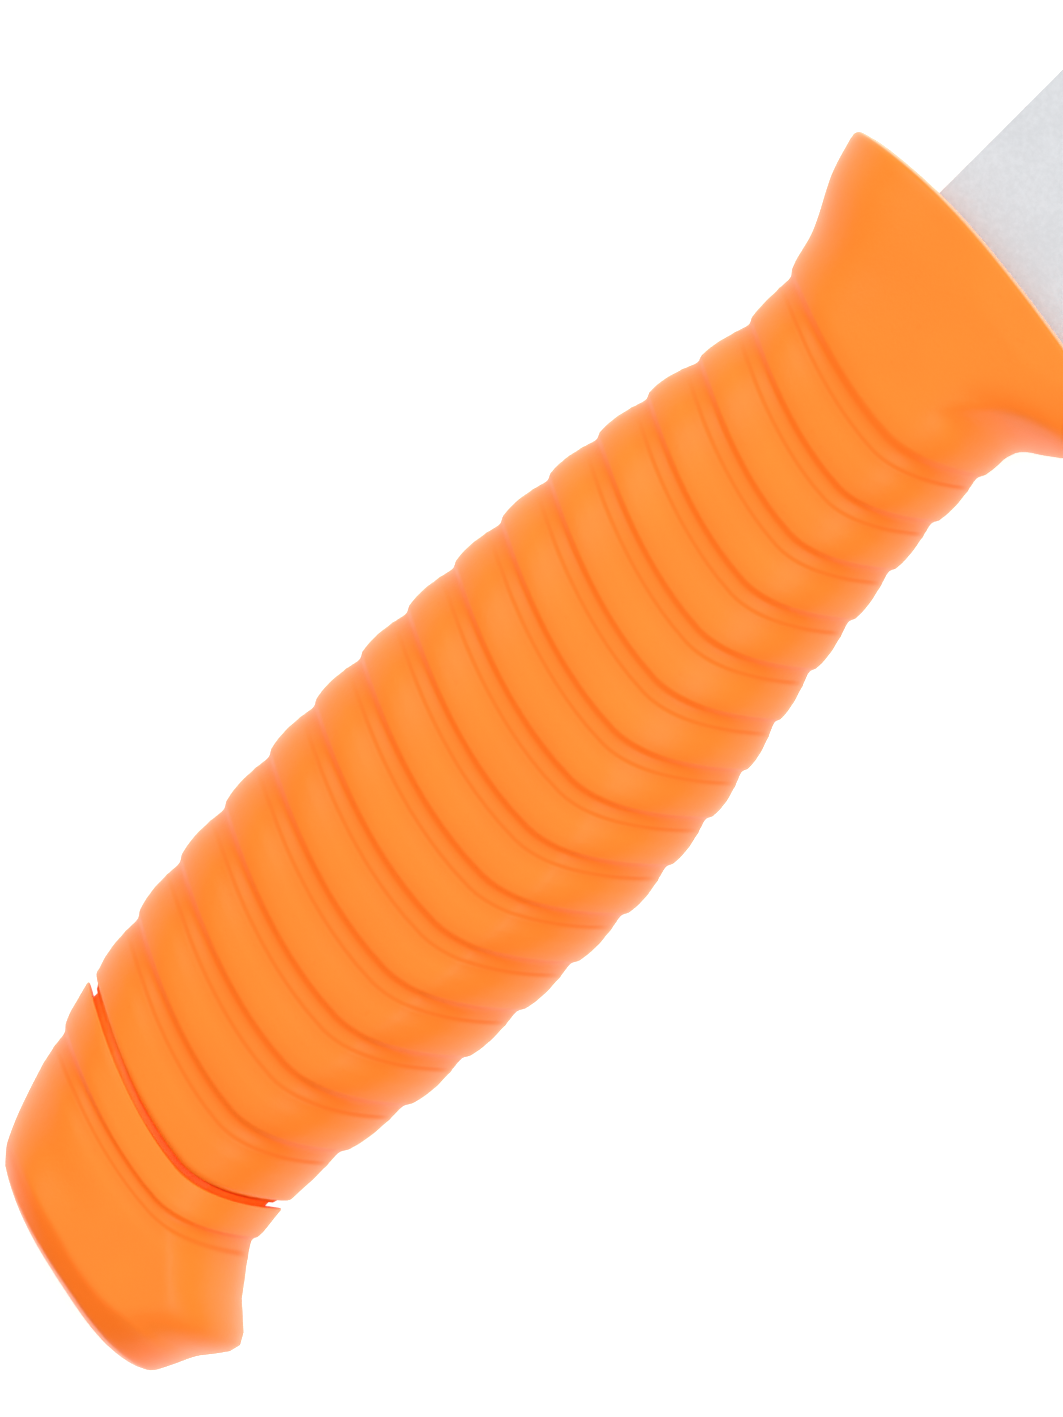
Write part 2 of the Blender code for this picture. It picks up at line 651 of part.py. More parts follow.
def build_pommel_cap(frame):
    """Soft pommel cap: a cup with the butt hook, open at the joint."""
    loops = list(reversed(cap_core_loops(GAP)))
    loops.append(handle_loop(JOINT_STATION + JOINT_HALF_WIDTH))
    loops.append(handle_loop(JOINT_STATION + CAP_FRONT_STEP))
    for offset, depth in GROOVE_PROFILE:
        loops.append(handle_loop(CAP_GROOVE_STATION + offset, depth))
    loops += [handle_loop(station) for station in BUTT_STEPS]
    return add_piece("pommel_cap", loft(loops), "orange_rubber", frame)


def main():
    clear_scene()
    frame = add_empty("knife_frame", (-(BLADE_LENGTH + BUTT_X) / 2, -(QUILLON_Y + HOOK_Y) / 2,
                                      LAND_Z))
    build_blade(frame)
    build_grip_sleeve(frame)
    build_grip_core(frame)
    build_tang_pins(frame)
    build_spike_socket(frame)
    axis = add_empty("spike_axis", (0, SPIKE_Y, 0), frame)
    build_spike(axis)
    build_o_rings(axis)
    build_cap_core(frame, axis)
    build_cap_pin(axis)
    build_pommel_cap(frame)


main()
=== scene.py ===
"""Finished rigging knife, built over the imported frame.

The knife lies on its side: +X runs to the blade's tip, +Y to the blade's spine and +Z up. The
sections below count stations along the handle: station 0 is the first groove behind the guard,
station 15 is the open joint between grip and pommel cap, and station 16 is the cap's own groove.
Tables and offsets are in millimetres from the foremost point of the guard, on the mid-plane.
"""

import math

import bpy
from bpy.props import FloatProperty, FloatVectorProperty, PointerProperty
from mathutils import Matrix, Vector


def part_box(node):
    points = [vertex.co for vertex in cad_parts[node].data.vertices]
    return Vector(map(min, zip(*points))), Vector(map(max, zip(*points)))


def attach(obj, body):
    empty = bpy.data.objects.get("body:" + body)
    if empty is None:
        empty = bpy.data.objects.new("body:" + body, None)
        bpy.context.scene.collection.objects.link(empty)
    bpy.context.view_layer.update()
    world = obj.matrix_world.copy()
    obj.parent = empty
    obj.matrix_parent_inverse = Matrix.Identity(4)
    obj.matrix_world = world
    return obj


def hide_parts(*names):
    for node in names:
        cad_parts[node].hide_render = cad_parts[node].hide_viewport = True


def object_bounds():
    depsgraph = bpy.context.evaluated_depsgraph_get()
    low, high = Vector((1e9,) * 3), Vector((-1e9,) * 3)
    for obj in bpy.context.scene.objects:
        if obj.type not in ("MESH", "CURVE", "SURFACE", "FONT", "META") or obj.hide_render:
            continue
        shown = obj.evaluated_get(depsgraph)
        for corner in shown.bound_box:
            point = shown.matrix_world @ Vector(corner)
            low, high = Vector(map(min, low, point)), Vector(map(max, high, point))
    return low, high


bl_info = {
    "name": "Rigging Knife",
    "version": (1, 0, 0),
    "blender": (4, 5, 0),
    "location": "3D View > Sidebar > Knife",
    "description": "Models and finishes a rigging knife with a pull-out marlinspike",
    "category": "Object",
}

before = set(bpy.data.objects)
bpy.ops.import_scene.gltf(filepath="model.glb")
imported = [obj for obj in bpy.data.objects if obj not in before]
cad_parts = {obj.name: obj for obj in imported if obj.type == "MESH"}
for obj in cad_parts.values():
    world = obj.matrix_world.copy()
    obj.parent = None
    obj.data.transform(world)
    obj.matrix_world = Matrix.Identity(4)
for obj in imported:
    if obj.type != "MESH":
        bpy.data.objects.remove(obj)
CAD_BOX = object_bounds()

MM = 0.001
BLADE_LOW, BLADE_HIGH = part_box("blade")
GRIP_LOW, GRIP_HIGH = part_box("grip_sleeve")
SPIKE_LOW, SPIKE_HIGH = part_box("marlinspike")
O_RINGS = ("o_ring_front", "o_ring_rear")

BLADE_LENGTH = 100.0
QUILLON_Y = 17.6
LAND_Z = (GRIP_HIGH.z - GRIP_LOW.z) / 2 / MM
ORIGIN = Vector((BLADE_HIGH.x - BLADE_LENGTH * MM, GRIP_HIGH.y - QUILLON_Y * MM,
                 (GRIP_HIGH.z + GRIP_LOW.z) / 2))

# Stations of the handle, and where its curved lines end on the outline
GUARD_STATION = -2.4
GUARD_FRONT = 0.9
JOINT_STATION = 15
CAP_GROOVE_STATION = 16
BUTT_STATION = 18.0
JOINT_HALF_WIDTH = 0.06
STATION_LENGTH = 5.6
SPINE_ENDS = ((-2.4, -2.1), (0, -14.9), (5, -41.8), (10, -69.5), (15, -98.6), (16, -104.1),
              (17, -110.2), (18, -115.0))
BELLY_ENDS = ((-2.4, -6.7), (-1, -10.4), (0, -15.8), (4, -37.5), (8, -57.9), (12, -81.8),
              (15, -100.7), (16, -105.2), (17, -111.8), (18, -119.2))

# Outline of the handle, as (x, y)
SPINE_LINE = ((-115.0, 6.6), (-113.4, 7.9), (-106.4, 10.5), (-98.6, 12.7), (-82.7, 15.1),
              (-64.0, 16.15), (-44.9, 15.8), (-30.0, 14.5), (-18.0, 12.8), (-11.2, 13.9),
              (-5.1, 16.7), (-2.1, QUILLON_Y))
BELLY_LINE = ((-119.2, -13.4), (-118.5, -14.6), (-117.4, -15.25), (-115.1, -16.35),
              (-111.8, -18.4), (-108.3, -15.3), (-104.2, -13.1), (-100.0, -12.7), (-83.7, -14.7),
              (-63.0, -15.9), (-51.1, -15.1), (-35.7, -12.4), (-19.0, -10.95), (-12.6, -11.05),
              (-11.4, -11.35), (-10.7, -11.9), (-9.8, -13.2), (-6.7, -17.3))

# Section of the handle by station
HALF_THICKNESS = ((-2.4, 12.3), (-1.2, 11.6), (1, 10.5), (3, 10.7), (6, 12.0), (9, 12.7),
                  (12, 12.4), (15, 11.7), (16.8, 12.4), (17.5, 12.3), (17.62, 12.0), (17.93, 10.9),
                  (18, 10.6))
SIDE_RIDGE = ((-2.4, 0.2), (0, 0.3), (16, 0.3), (18, 0.1))
LINE_BOW = ((-2.4, -2.5), (-1.2, 0.2), (0, 3.9), (4, 5.0), (8, 6.2), (15, 4.5), (18, 1.55))
BOW_POWER = ((-2.4, 2.7), (-1.2, 1.8), (16.5, 1.8), (18, 3.0))
SPINE_FULLNESS = ((-2.4, 2.3), (0, 2.4), (15, 2.4), (18, 2.6))
BELLY_FULLNESS = ((-2.4, 4.2), (-1.8, 3.9), (-1.0, 2.1), (15, 2.1), (18, 2.6))
BUTT_BAND_START = 17.4
# Stations over which the butt's roll-off band fades into the groove's painted shade
BUTT_BAND_SHADE = (17.45, 17.7)
BUTT_ROUND_START = 17.92
BUTT_ROUND_POWER = 2.2

# Hollow for the forefinger behind the guard: a round scoop that thins the handle
SCOOP_CENTRE = (-22.2, -15.6)
SCOOP_RADIUS = 14.5
SCOOP_WALL = 4.5
SCOOP_FADE_X = (-15.0, -11.5)
SCOOP_THINNING = 0.14

# Cores that the soft pieces sit on, by x for the grip and by share of depth for the cap
CORE_FULLNESS = 2.3
GAP = 0.3
CAVITY_FRONT_X = -6.2
CORE_TOP = ((-101.0, 11.4), (-80.0, 12.3), (-60.0, 13.3), (-42.0, 12.8), (-26.0, 10.6),
            (-18.0, 9.9), (-6.0, 9.9))
CORE_LOW = ((-101.0, -11.5), (-80.0, -12.1), (-63.0, -13.0), (-50.0, -12.0), (-38.0, -9.8),
            (-25.0, -8.5), (-6.0, -8.5))
CORE_HALF_THICKNESS = ((-101.0, 10.3), (-60.0, 9.9), (-40.0, 9.0), (-25.0, 7.7), (-6.0, 7.7))
CAP_CAVITY_BACK_X = -114.7
CAP_CORE_TOP = ((0, 11.4), (0.5, 7.6), (0.85, 5.0), (1, 3.4))
CAP_CORE_LOW = ((0, -11.5), (0.5, -10.9), (0.85, -11.6), (1, -10.8))
CAP_CORE_HALF_THICKNESS = ((0, 10.2), (0.5, 9.2), (0.85, 8.4), (1, 7.0))

# Section of a groove, by distance behind its middle: where its walls, floor and creases run
FRONT_WALL = (-1.35, -0.62)
BACK_WALL = (0.3, 0.82)
FLOOR_SLOPE = (-0.5, 0.4)
FLOOR_RISE = 0.35
RIB_EDGE = (0.8, 2.4)
# Where the painted shade lines along a groove's creases lie, how strong the front one is, and where
# they fade out towards the spine and the belly
FRONT_CREASE = ((-1.35, -1.1), (-0.85, -0.6))
BACK_CREASE = ((0.15, 0.45), (0.5, 0.8))
FRONT_CREASE_SHADE = 0.45
CREASE_FADE = ((0.08, 0.24), (0.84, 0.95))

# Rims of the moulded pieces
JOINT_RIM = 0.7
JOINT_RIM_WIDTH = 0.3
CAP_RIM = 0.15
CAP_RIM_WIDTH = 0.2
GUARD_RIM_STEPS = 8
# Steps of the guard's rounded front rim that get a painted highlight
GUARD_RIM_HIGHLIGHT = (3.0, 5.0)
SLOT_WALL = 0.4
# Share of the groove's painted shade on the slot's wall
SLOT_WALL_SHADE = 0.6

# Fineness of the moulded pieces
SIDE_LEVELS = 48
GUARD_ROWS = 40
GUARD_FACE_ROWS = (0.12, 0.3, 0.5, 0.7, 0.85, 0.94)
GRIP_CAVITY_STEPS = 12
CAP_CAVITY_STEPS = 8
GROOVE_ROWS = (-2.4, -2.0, -1.7, -1.5, -1.4, -1.3, -1.2, -1.1, -1.0, -0.9, -0.8, -0.7, -0.6, -0.45,
               -0.25, 0.0, 0.2, 0.3, 0.4, 0.5, 0.6, 0.7, 0.82, 1.0, 1.3, 1.7, 2.1, 2.4)

# Blade and tang
SPINE_Y = 8.9
EDGE_Y = -11.6
RICASSO_X = 7.0
TIP_DROP_LENGTH = 30.0
TIP_NOSE = 1.6
TIP_COLUMNS = 36
TIP_CORNER = 0.5
EDGE_LINE = 0.4
FLAT_ROWS = (0.05, 0.35, 0.65, 0.95, 1.0)
SHOULDER_X = -3.0
TANG_COLUMNS = ((-84.0, 7.3, 4.4), (-83.0, 8.3, 3.4), (-60.0, 8.3, 3.4), (-40.0, 8.3, 3.4),
                (-29.0, 8.3, 3.4), (-23.0, 8.3, -4.5), (-12.0, 8.3, -4.5), (SHOULDER_X, 8.3, -4.5))
TANG_PINS = (("tang_pin_front", 1.9), ("tang_pin_rear", 1.3))
SLOT_GAP = 0.06

# Marlinspike: tenon in the cap's core, shank with the ring grooves, taper and tip
TENON_LENGTH = 13.5
TENON_RADIUS = 2.8
TENON_CHAMFER = 0.4
SHOULDER_CHAMFER = 0.2
RING_GROOVE_RADIUS = 2.6
RING_GROOVE_HALF_WIDTH = 0.8
RING_GROOVE_CHAMFER = 0.05
TAPER_X = -88.0
TAPER_POWER = 1.3
TAPER_ROWS = 15
SPIKE_TIP_RADIUS = 0.9
SPIKE_TIP_STEPS = 7
CROSS_PIN_RADIUS = 1.3
O_RING_SQUEEZE = 0.992

# Core nylon: two colours, and a painted glow that lights it up in the shaded joint gap though it is no
# lamp
CORE_COLOURS = ((0.97, 0.2, 0.01), (1.0, 0.24, 0.016))
CORE_PAINTED_GLOW_COLOUR = (1.0, 0.07, 0.004)
CORE_PAINTED_GLOW = 0.35

# Studio: the point that the lights face, in metres; the forward part of a direction over which
# the room's light comes up to full; and the height, middle and turn of the camera's view
LIT_POINT_X = -0.05
ROOM_LIGHT_RISE = (-0.8, 0.6)
SOFTBOX_SIZE = (0.5, 0.25)
STRIP_SIZE = (0.5, 0.12)
VIEW_HEIGHT = 120.6
VIEW_CENTRE = (-55.84, 2.4)
VIEW_TURN = -45
SENSOR = 36.0


# ---------------------------------------------------------------- settings

def colour_field(name, description, default):
    return FloatVectorProperty(name=name, description=description, default=default,
                               subtype="COLOR", size=3, min=0.0, max=1.0)


def length_field(name, description, millimetres):
    return FloatProperty(name=name, description=description, default=millimetres * MM,
                         unit="LENGTH", min=0.0)


def share_field(name, description, default):
    return FloatProperty(name=name, description=description, default=default,
                         subtype="FACTOR", min=0.0, max=1.0)


def strength_field(name, description, default):
    return FloatProperty(name=name, description=description, default=default, min=0.0)


class KnifeGripSettings(bpy.types.PropertyGroup):
    colour: colour_field(
        "Colour", "Orange of the moulded grip and pommel cap", (0.95, 0.202, 0.014))
    # Painted shade: this darker orange is laid in the grooves, the slot, the cavities and the butt's
    # band, where shade falls; it also gives the random specks.
    groove_shade_and_speck_colour: colour_field("Groove Colour", "Deeper orange in the grooves", (0.95, 0.168, 0.006))
    # Painted shade: the dark lines along a groove's creases.
    crease_shade_colour: colour_field(
        "Crease Colour", "Dull orange along the creases of a groove", (0.93, 0.148, 0.002))
    # Painted highlight: a pale line along the guard's front rim, where light glances off.
    rim_highlight_colour: colour_field(
        "Rim Colour", "Paler orange of the thin rim along the guard's front", (1.0, 0.45, 0.26))
    roughness: share_field("Roughness", "Satin of the moulded surface", 0.38)
    groove_depth: length_field("Groove Depth", "Depth of the grooves between the ribs", 0.42)
    rib_crown: length_field("Rib Crown", "How far a rib's edges lie below its middle", 0.16)
    rim_radius: length_field("Guard Rim", "Rounding of the guard's front edge", 0.7)


class KnifeSteelSettings(bpy.types.PropertyGroup):
    colour: colour_field(
        "Colour", "Stainless steel of the blade and the spike", (0.55, 0.563, 0.584))
    roughness: share_field("Roughness", "Satin of the blasted flats", 0.3)
    bevel_height: length_field("Bevel Height", "Height of the ground bevel above the edge", 4.5)
    edge_thickness: length_field("Edge Thickness", "Steel left at the cutting edge", 0.08)
    spine_round: length_field("Spine Round", "Broken corner along the spine", 0.18)


class KnifeStageSettings(bpy.types.PropertyGroup):
    lens: FloatProperty(
        name="Lens", description="Focal length of the camera in millimetres", min=50.0,
        default=1000.0)
    floor_colour: colour_field("Floor", "Pale studio floor", (0.97, 0.97, 0.97))
    floor_glow: strength_field(
        "Floor Glow", "Light that the floor gives off, like a light table", 0.5)
    ceiling_strength: strength_field(
        "Ceiling Light", "Strength of the white light from straight above", 1.46)
    horizon_strength: strength_field(
        "Wall Light", "Strength of the white light from the sides", 0.14)
    butt_side_share: share_field(
        "Butt Side", "Share of the room's light that is left behind the butt", 0.62)
    softbox_power: strength_field(
        "Softbox Power", "Power of each softbox over the handle in watts", 1.15)
    strip_power: strength_field(
        "Strip Power", "Power of the low strip light ahead of the guard in watts", 0.6)


# ---------------------------------------------------------------- curves and loops of points

def secant(points, k):
    """Slope of the straight line from point k to the next."""
    (x0, y0), (x1, y1) = points[k], points[k + 1]
    return (y1 - y0) / (x1 - x0)


def slope_at(points, k):
    """Slope that lets a curve pass point k without overshooting its neighbours."""
    if k == 0:
        return secant(points, 0)
    if k == len(points) - 1:
        return secant(points, k - 1)
    before, after = secant(points, k - 1), secant(points, k)
    if before * after <= 0:
        return 0.0
    return 2 * before * after / (before + after)


def through(points, x):
    """Smooth curve through (x, y) points in rising order of x, level beyond both ends."""
    x = min(max(x, points[0][0]), points[-1][0])
    k = 0
    while k < len(points) - 2 and x > points[k + 1][0]:
        k += 1
    (x0, y0), (x1, y1) = points[k], points[k + 1]
    width = x1 - x0
    s = (x - x0) / width
    start = y0 * (1 + 2 * s) * (1 - s) ** 2 + slope_at(points, k) * width * s * (1 - s) ** 2
    end = y1 * (3 - 2 * s) * s ** 2 - slope_at(points, k + 1) * width * s ** 2 * (1 - s)
    return start + end


def part_way(low, high, x):
    """How far x has come from low to high: 0 below low and 1 above high."""
    return min(max((x - low) / (high - low), 0.0), 1.0)


def ease(low, high, x):
    """0 below low, 1 above high, and a soft step between."""
    s = part_way(low, high, x)
    return s * s * (3 - 2 * s)


def spread(low, high, count):
    """count values from low to high."""
    return [low + (high - low) * k / (count - 1) for k in range(count)]


def section_levels(spine_fullness, belly_fullness):
    """(across, out, fullness) down one side of an oval: across runs from -1 at the spine to 1."""
    for level in range(SIDE_LEVELS + 1):
        angle = math.pi * (level / SIDE_LEVELS - 0.5)
        fullness = spine_fullness if angle < 0 else belly_fullness
        across = math.copysign(abs(math.sin(angle)) ** (2 / fullness), angle)
        out = max(math.cos(angle), 0.0) ** (2 / fullness)
        if level in (0, SIDE_LEVELS):
            out = 0.0
        yield across, out, fullness


def both_sides(side):
    """Close a run of points on the +Z side into a loop, by its mirror image."""
    mirrored = [(x, y, -z) for x, y, z in reversed(side[1:-1])]
    return side + mirrored


def outline_at(station):
    """The two ends of a station's line, on the spine and on the belly."""
    top_x = through(SPINE_ENDS, station)
    low_x = through(BELLY_ENDS, station)
    return (top_x, through(SPINE_LINE, top_x)), (low_x, through(BELLY_LINE, low_x))


def line_x(station, share, across):
    """x on a station's bowed line: share runs from -1 at the spine to 1 at the belly."""
    (top_x, _), (low_x, _) = outline_at(station)
    straight = top_x + (low_x - top_x) * (share + 1) / 2
    bow = 1 - abs(across) ** through(BOW_POWER, station)
    return straight - through(LINE_BOW, station) * bow


def line_x_at_height(station, y):
    """x on a station's bowed line at height y."""
    (_, top_y), (_, low_y) = outline_at(station)
    share = ((top_y + low_y) / 2 - y) / ((top_y - low_y) / 2)
    ridge = through(SIDE_RIDGE, station)
    reach = 1 + ridge if share < ridge else 1 - ridge
    return line_x(station, share, (share - ridge) / reach)


def half_thickness_at(station):
    """Half thickness of the handle, rolled off to nothing along the butt."""
    way = part_way(BUTT_ROUND_START, BUTT_STATION, station)
    roll_off = (1 - way ** BUTT_ROUND_POWER) ** (1 / BUTT_ROUND_POWER)
    return through(HALF_THICKNESS, station) * roll_off


def scooped(x, y):
    """Share of the handle's thickness that is left where the forefinger's scoop cuts in."""
    reach = math.hypot(x - SCOOP_CENTRE[0], y - SCOOP_CENTRE[1])
    way = min(max((SCOOP_RADIUS - reach) / SCOOP_WALL, 0.0), 1.0)
    inside = 1 - (1 - way) ** 2
    return 1 - SCOOP_THINNING * inside * ease(*SCOOP_FADE_X, x)


class Ring:
    """A loop of points round a moulded piece, and how much painted shade (groove, crease) and painted
    highlight (rim) its skin gets there.
    """

    def __init__(self, loop, groove=0.0, crease=0.0, rim=0.0):
        self.loop = loop
        self.groove = groove
        self.crease = crease
        self.rim = rim


def handle_loop(station, depth=0.0, forward=0.0):
    """Loop round the outside of the handle at a station, sunk by depth and moved forward."""
    (_, top_y), (_, low_y) = outline_at(station)
    half_height = (top_y - low_y) / 2
    half_thickness = max(half_thickness_at(station), 1e-6)
    ridge = through(SIDE_RIDGE, station)
    fullnesses = through(SPINE_FULLNESS, station), through(BELLY_FULLNESS, station)
    side = []
    for across, out, fullness in section_levels(*fullnesses):
        reach = 1 + ridge if across < 0 else 1 - ridge
        share = ridge + across * reach
        y = (top_y + low_y) / 2 - share * half_height
        z = out * half_thickness
        steep_y = -math.copysign(abs(across) ** (fullness - 1), across) / (reach * half_height)
        steep_z = out ** (fullness - 1) / half_thickness
        if z > LAND_Z:
            z = LAND_Z
            steep_y = 0.0
        steepness = math.hypot(steep_y, steep_z)
        x = line_x(station, share, across) + forward
        z = z * scooped(x, y) - depth * steep_z / steepness
        side.append((x, y - depth * steep_y / steepness, z))
    return both_sides(side)


def core_loop(x_at, top, low, half_thickness):
    """Oval loop just outside a core: x_at gives x at a height."""
    half_height = (top - low) / 2 + GAP
    side = []
    for across, out, _ in section_levels(CORE_FULLNESS, CORE_FULLNESS):
        y = (top + low) / 2 - across * half_height
        side.append((x_at(y), y, out * (half_thickness + GAP)))
    return both_sides(side)


def slot_loop(x_at, half_thickness):
    """Loop of the slot in the guard that the blade comes out of."""
    top = SPINE_Y + SLOT_GAP
    low = EDGE_Y - SLOT_GAP
    corners = SIDE_LEVELS - 2
    side = [(x_at(top), top, 0.0)]
    for step in range(corners + 1):
        y = top + (low - top) * step / corners
        side.append((x_at(y), y, half_thickness + SLOT_GAP))
    side.append((x_at(low), low, 0.0))
    return both_sides(side)


def blend_loops(first, second, way):
    """Loop part of the way from the first to the second, point by point."""
    return [tuple(a + (b - a) * way for a, b in zip(p, q)) for p, q in zip(first, second)]


def groove_depth_at(offset, depth, crown):
    """Depth below the rib's crown, offset mm behind a groove's middle: steep towards the blade."""
    wall_front = ease(*FRONT_WALL, offset)
    wall_back = 1 - ease(*BACK_WALL, offset)
    edge_drop = 1 - ease(*RIB_EDGE, abs(offset))
    floor_rise = FLOOR_RISE * ease(*FLOOR_SLOPE, offset)
    cut = min(wall_front, wall_back) * (1 - floor_rise)
    return depth * cut + crown * edge_drop * (1 - wall_front * wall_back)


def within(rise, fall, x):
    """1 between the two soft steps rise and fall, and 0 outside them."""
    return ease(*rise, x) * (1 - ease(*fall, x))


def crease_at(offset):
    """Strength of the painted shade lines (and extra roughness) along a groove's creases: the steep
    front wall, and the foot of the back wall.
    """
    return max(within(*FRONT_CREASE, offset) * FRONT_CREASE_SHADE, within(*BACK_CREASE, offset))


def groove_rings(station, settings):
    """Rings across one groove and half a rib on each side."""
    depth = settings.groove_depth / MM
    crown = settings.rib_crown / MM
    for offset in GROOVE_ROWS:
        sunk = groove_depth_at(offset, depth, crown)
        loop = handle_loop(station + offset / STATION_LENGTH, sunk)
        # Painted shade by how deep the point is sunk, and along the creases.
        yield Ring(loop, min(sunk / depth, 1.0), crease_at(offset))


def rounded_edge(station, radius, direction, steps=5):
    """Rings round an edge of the handle that faces forward (1) or to the butt (-1)."""
    for step in range(steps + 1):
        angle = math.pi / 2 * step / steps
        depth = radius * (1 - math.cos(angle))
        back = radius * (1 - math.sin(angle))
        yield Ring(handle_loop(station, depth, -direction * back))


# ---------------------------------------------------------------- modelling helpers

def deselect_everything():
    """Leave nothing selected, so that an operator works on one piece only."""
    for item in list(bpy.context.selected_objects):
        item.select_set(False)


def name_new_piece(name):
    """Name the primitive that was just added."""
    piece = bpy.context.object
    piece.name = name
    piece.data.name = name
    return piece


def select_only(piece):
    """Select the piece alone and make it the active one."""
    deselect_everything()
    piece.select_set(True)
    bpy.context.view_layer.objects.active = piece


def enter_edit(piece, select="SELECT", kind="VERT"):
    """Edit the piece's mesh, with all or none of its points or edges selected."""
    select_only(piece)
    bpy.ops.object.mode_set(mode="EDIT")
    bpy.ops.mesh.select_mode(type=kind)
    bpy.ops.mesh.select_all(action=select)


def leave_edit():
    """Go back from the mesh to whole pieces."""
    bpy.ops.object.mode_set(mode="OBJECT")


def select_verts(piece, test):
    """Select the vertices whose place, in mm from the knife's origin, passes the test."""
    enter_edit(piece, "DESELECT")
    leave_edit()
    for vert in piece.data.vertices:
        place = (vert.co - ORIGIN) / MM
        vert.select = bool(test(place))
    bpy.ops.object.mode_set(mode="EDIT")


def weld(piece):
    """Merge doubled points and turn every face outwards."""
    enter_edit(piece)
    bpy.ops.mesh.remove_doubles(threshold=2e-6)
    bpy.ops.mesh.normals_make_consistent(inside=False)
    leave_edit()


def apply_modifier(piece, kind, **settings):
    """Add a modifier, set it and apply it."""
    bpy.context.view_layer.objects.active = piece
    modifier = piece.modifiers.new(kind.title(), kind)
    for name, value in settings.items():
        setattr(modifier, name, value)
    bpy.ops.object.modifier_apply(modifier=modifier.name)


def shade_smooth(piece, degrees):
    """Shade the piece smooth, but keep edges sharper than the angle."""
    select_only(piece)
    bpy.ops.object.shade_smooth_by_angle(angle=math.radians(degrees))


def place_at_origin(piece):
    """Put the piece's place, turn and size into its mesh."""
    select_only(piece)
    bpy.ops.object.transform_apply(location=True, rotation=True, scale=True)


def add_grid(name, across, along, points):
    """Add a grid of across by along faces and lay its rows of vertices on rows of points, in mm."""
    deselect_everything()
    bpy.ops.mesh.primitive_grid_add(x_subdivisions=across, y_subdivisions=along, size=1)
    piece = name_new_piece(name)
    places = [value for row in points for point in row for value in ORIGIN + Vector(point) * MM]
    piece.data.vertices.foreach_set("co", places)
    piece.data.update()
    return piece


def crease_fade(place):
    """Share of a crease's painted shade (and extra roughness) left at a point of a loop: none on the
    spine and the belly.
    """
    level = min(place, 2 * SIDE_LEVELS - place) / SIDE_LEVELS
    return within(*CREASE_FADE, level)


def add_moulding(name, rings):
    """Wrap a grid round a run of rings, close its seam and keep the painted shade and highlight
    amounts in its points.
    """
    rows = [ring.loop + ring.loop[:1] for ring in rings]
    piece = add_grid(name, 2 * SIDE_LEVELS, len(rows) - 1, rows)
    places = range(2 * SIDE_LEVELS + 1)
    grooves = [ring.groove for ring in rings for _ in places]
    creases = [ring.crease * crease_fade(place) for ring in rings for place in places]
    rims = [ring.rim for ring in rings for _ in places]
    # These amounts drive painted shade (groove, crease) and a painted highlight (rim) in the rubber's
    # colour.
    for tint, values in (("groove", grooves), ("crease", creases), ("rim", rims)):
        attribute = piece.data.attributes.new(tint, "FLOAT", "POINT")
        attribute.data.foreach_set("value", values)
    weld(piece)
    return piece


def lathe(name, profile, centre, steps):
    """Turn a profile of (x, radius) points in mm round the line through centre along X."""
    deselect_everything()
    bpy.ops.mesh.primitive_plane_add(size=1)
    piece = name_new_piece(name)
    enter_edit(piece)
    bpy.ops.mesh.merge(type="CENTER")
    first_x, first_radius = profile[0]
    start = centre + Vector((first_x, first_radius, 0)) * MM
    bpy.ops.transform.translate(value=start - piece.location)
    for (x0, r0), (x1, r1) in zip(profile, profile[1:]):
        step = Vector((x1 - x0, r1 - r0, 0)) * MM
        bpy.ops.mesh.extrude_region_move(TRANSFORM_OT_translate={"value": step})
    bpy.ops.mesh.select_all(action="SELECT")
    bpy.ops.mesh.spin(steps=steps, angle=2 * math.pi, center=centre, axis=(1, 0, 0))
    leave_edit()
    weld(piece)
    place_at_origin(piece)
    return piece


# ---------------------------------------------------------------- materials

class Wire:
    """A value on its way between nodes. Python's operators on it add Math nodes."""

    def __init__(self, graph, socket):
        self.graph = graph
        self.socket = socket

    def math(self, operation, first, second):
        """Add a Math node with its two inputs."""
        return self.graph.node("ShaderNodeMath", {"operation": operation}, {0: first, 1: second})

    def __add__(self, other):
        return self.math("ADD", self, other)

    def __radd__(self, other):
        return self.math("ADD", other, self)

    def __sub__(self, other):
        return self.math("SUBTRACT", self, other)

    def __rsub__(self, other):
        return self.math("SUBTRACT", other, self)

    def __mul__(self, other):
        return self.math("MULTIPLY", self, other)

    def __truediv__(self, other):
        return self.math("DIVIDE", self, other)


class Graph:
    """Nodes of a material or of the room's light."""

    def __init__(self, tree):
        self.tree = tree

    def node(self, kind, settings=None, sockets=None, output=0):
        """Add a node, set it, feed its sockets, and return one of its outputs."""
        made = self.tree.nodes.new(kind)
        for name, value in (settings or {}).items():
            setattr(made, name, value)
        for name, value in (sockets or {}).items():
            self.feed(made.inputs[name], value)
        return Wire(self, made.outputs[output])

    def feed(self, socket, value):
        """Link a wire to a socket, or set a plain value on it."""
        if isinstance(value, Wire):
            self.tree.links.new(value.socket, socket)
        else:
            socket.default_value = value

    def part(self, vector, name):
        """The X, Y or Z of a vector."""
        return self.node("ShaderNodeSeparateXYZ", None, {0: vector}, output=name)

    def range(self, value, low, high, to_low=0.0, to_high=1.0):
        """Value from low to high mapped softly to another range."""
        return self.node("ShaderNodeMapRange", {"interpolation_type": "SMOOTHSTEP"}, {
            "Value": value, "From Min": low, "From Max": high, "To Min": to_low,
            "To Max": to_high})


def opaque(colour, gain=1.0):
    """Colour made brighter or darker by gain, with full alpha."""
    return (*(min(value * gain, 1.0) for value in colour), 1.0)


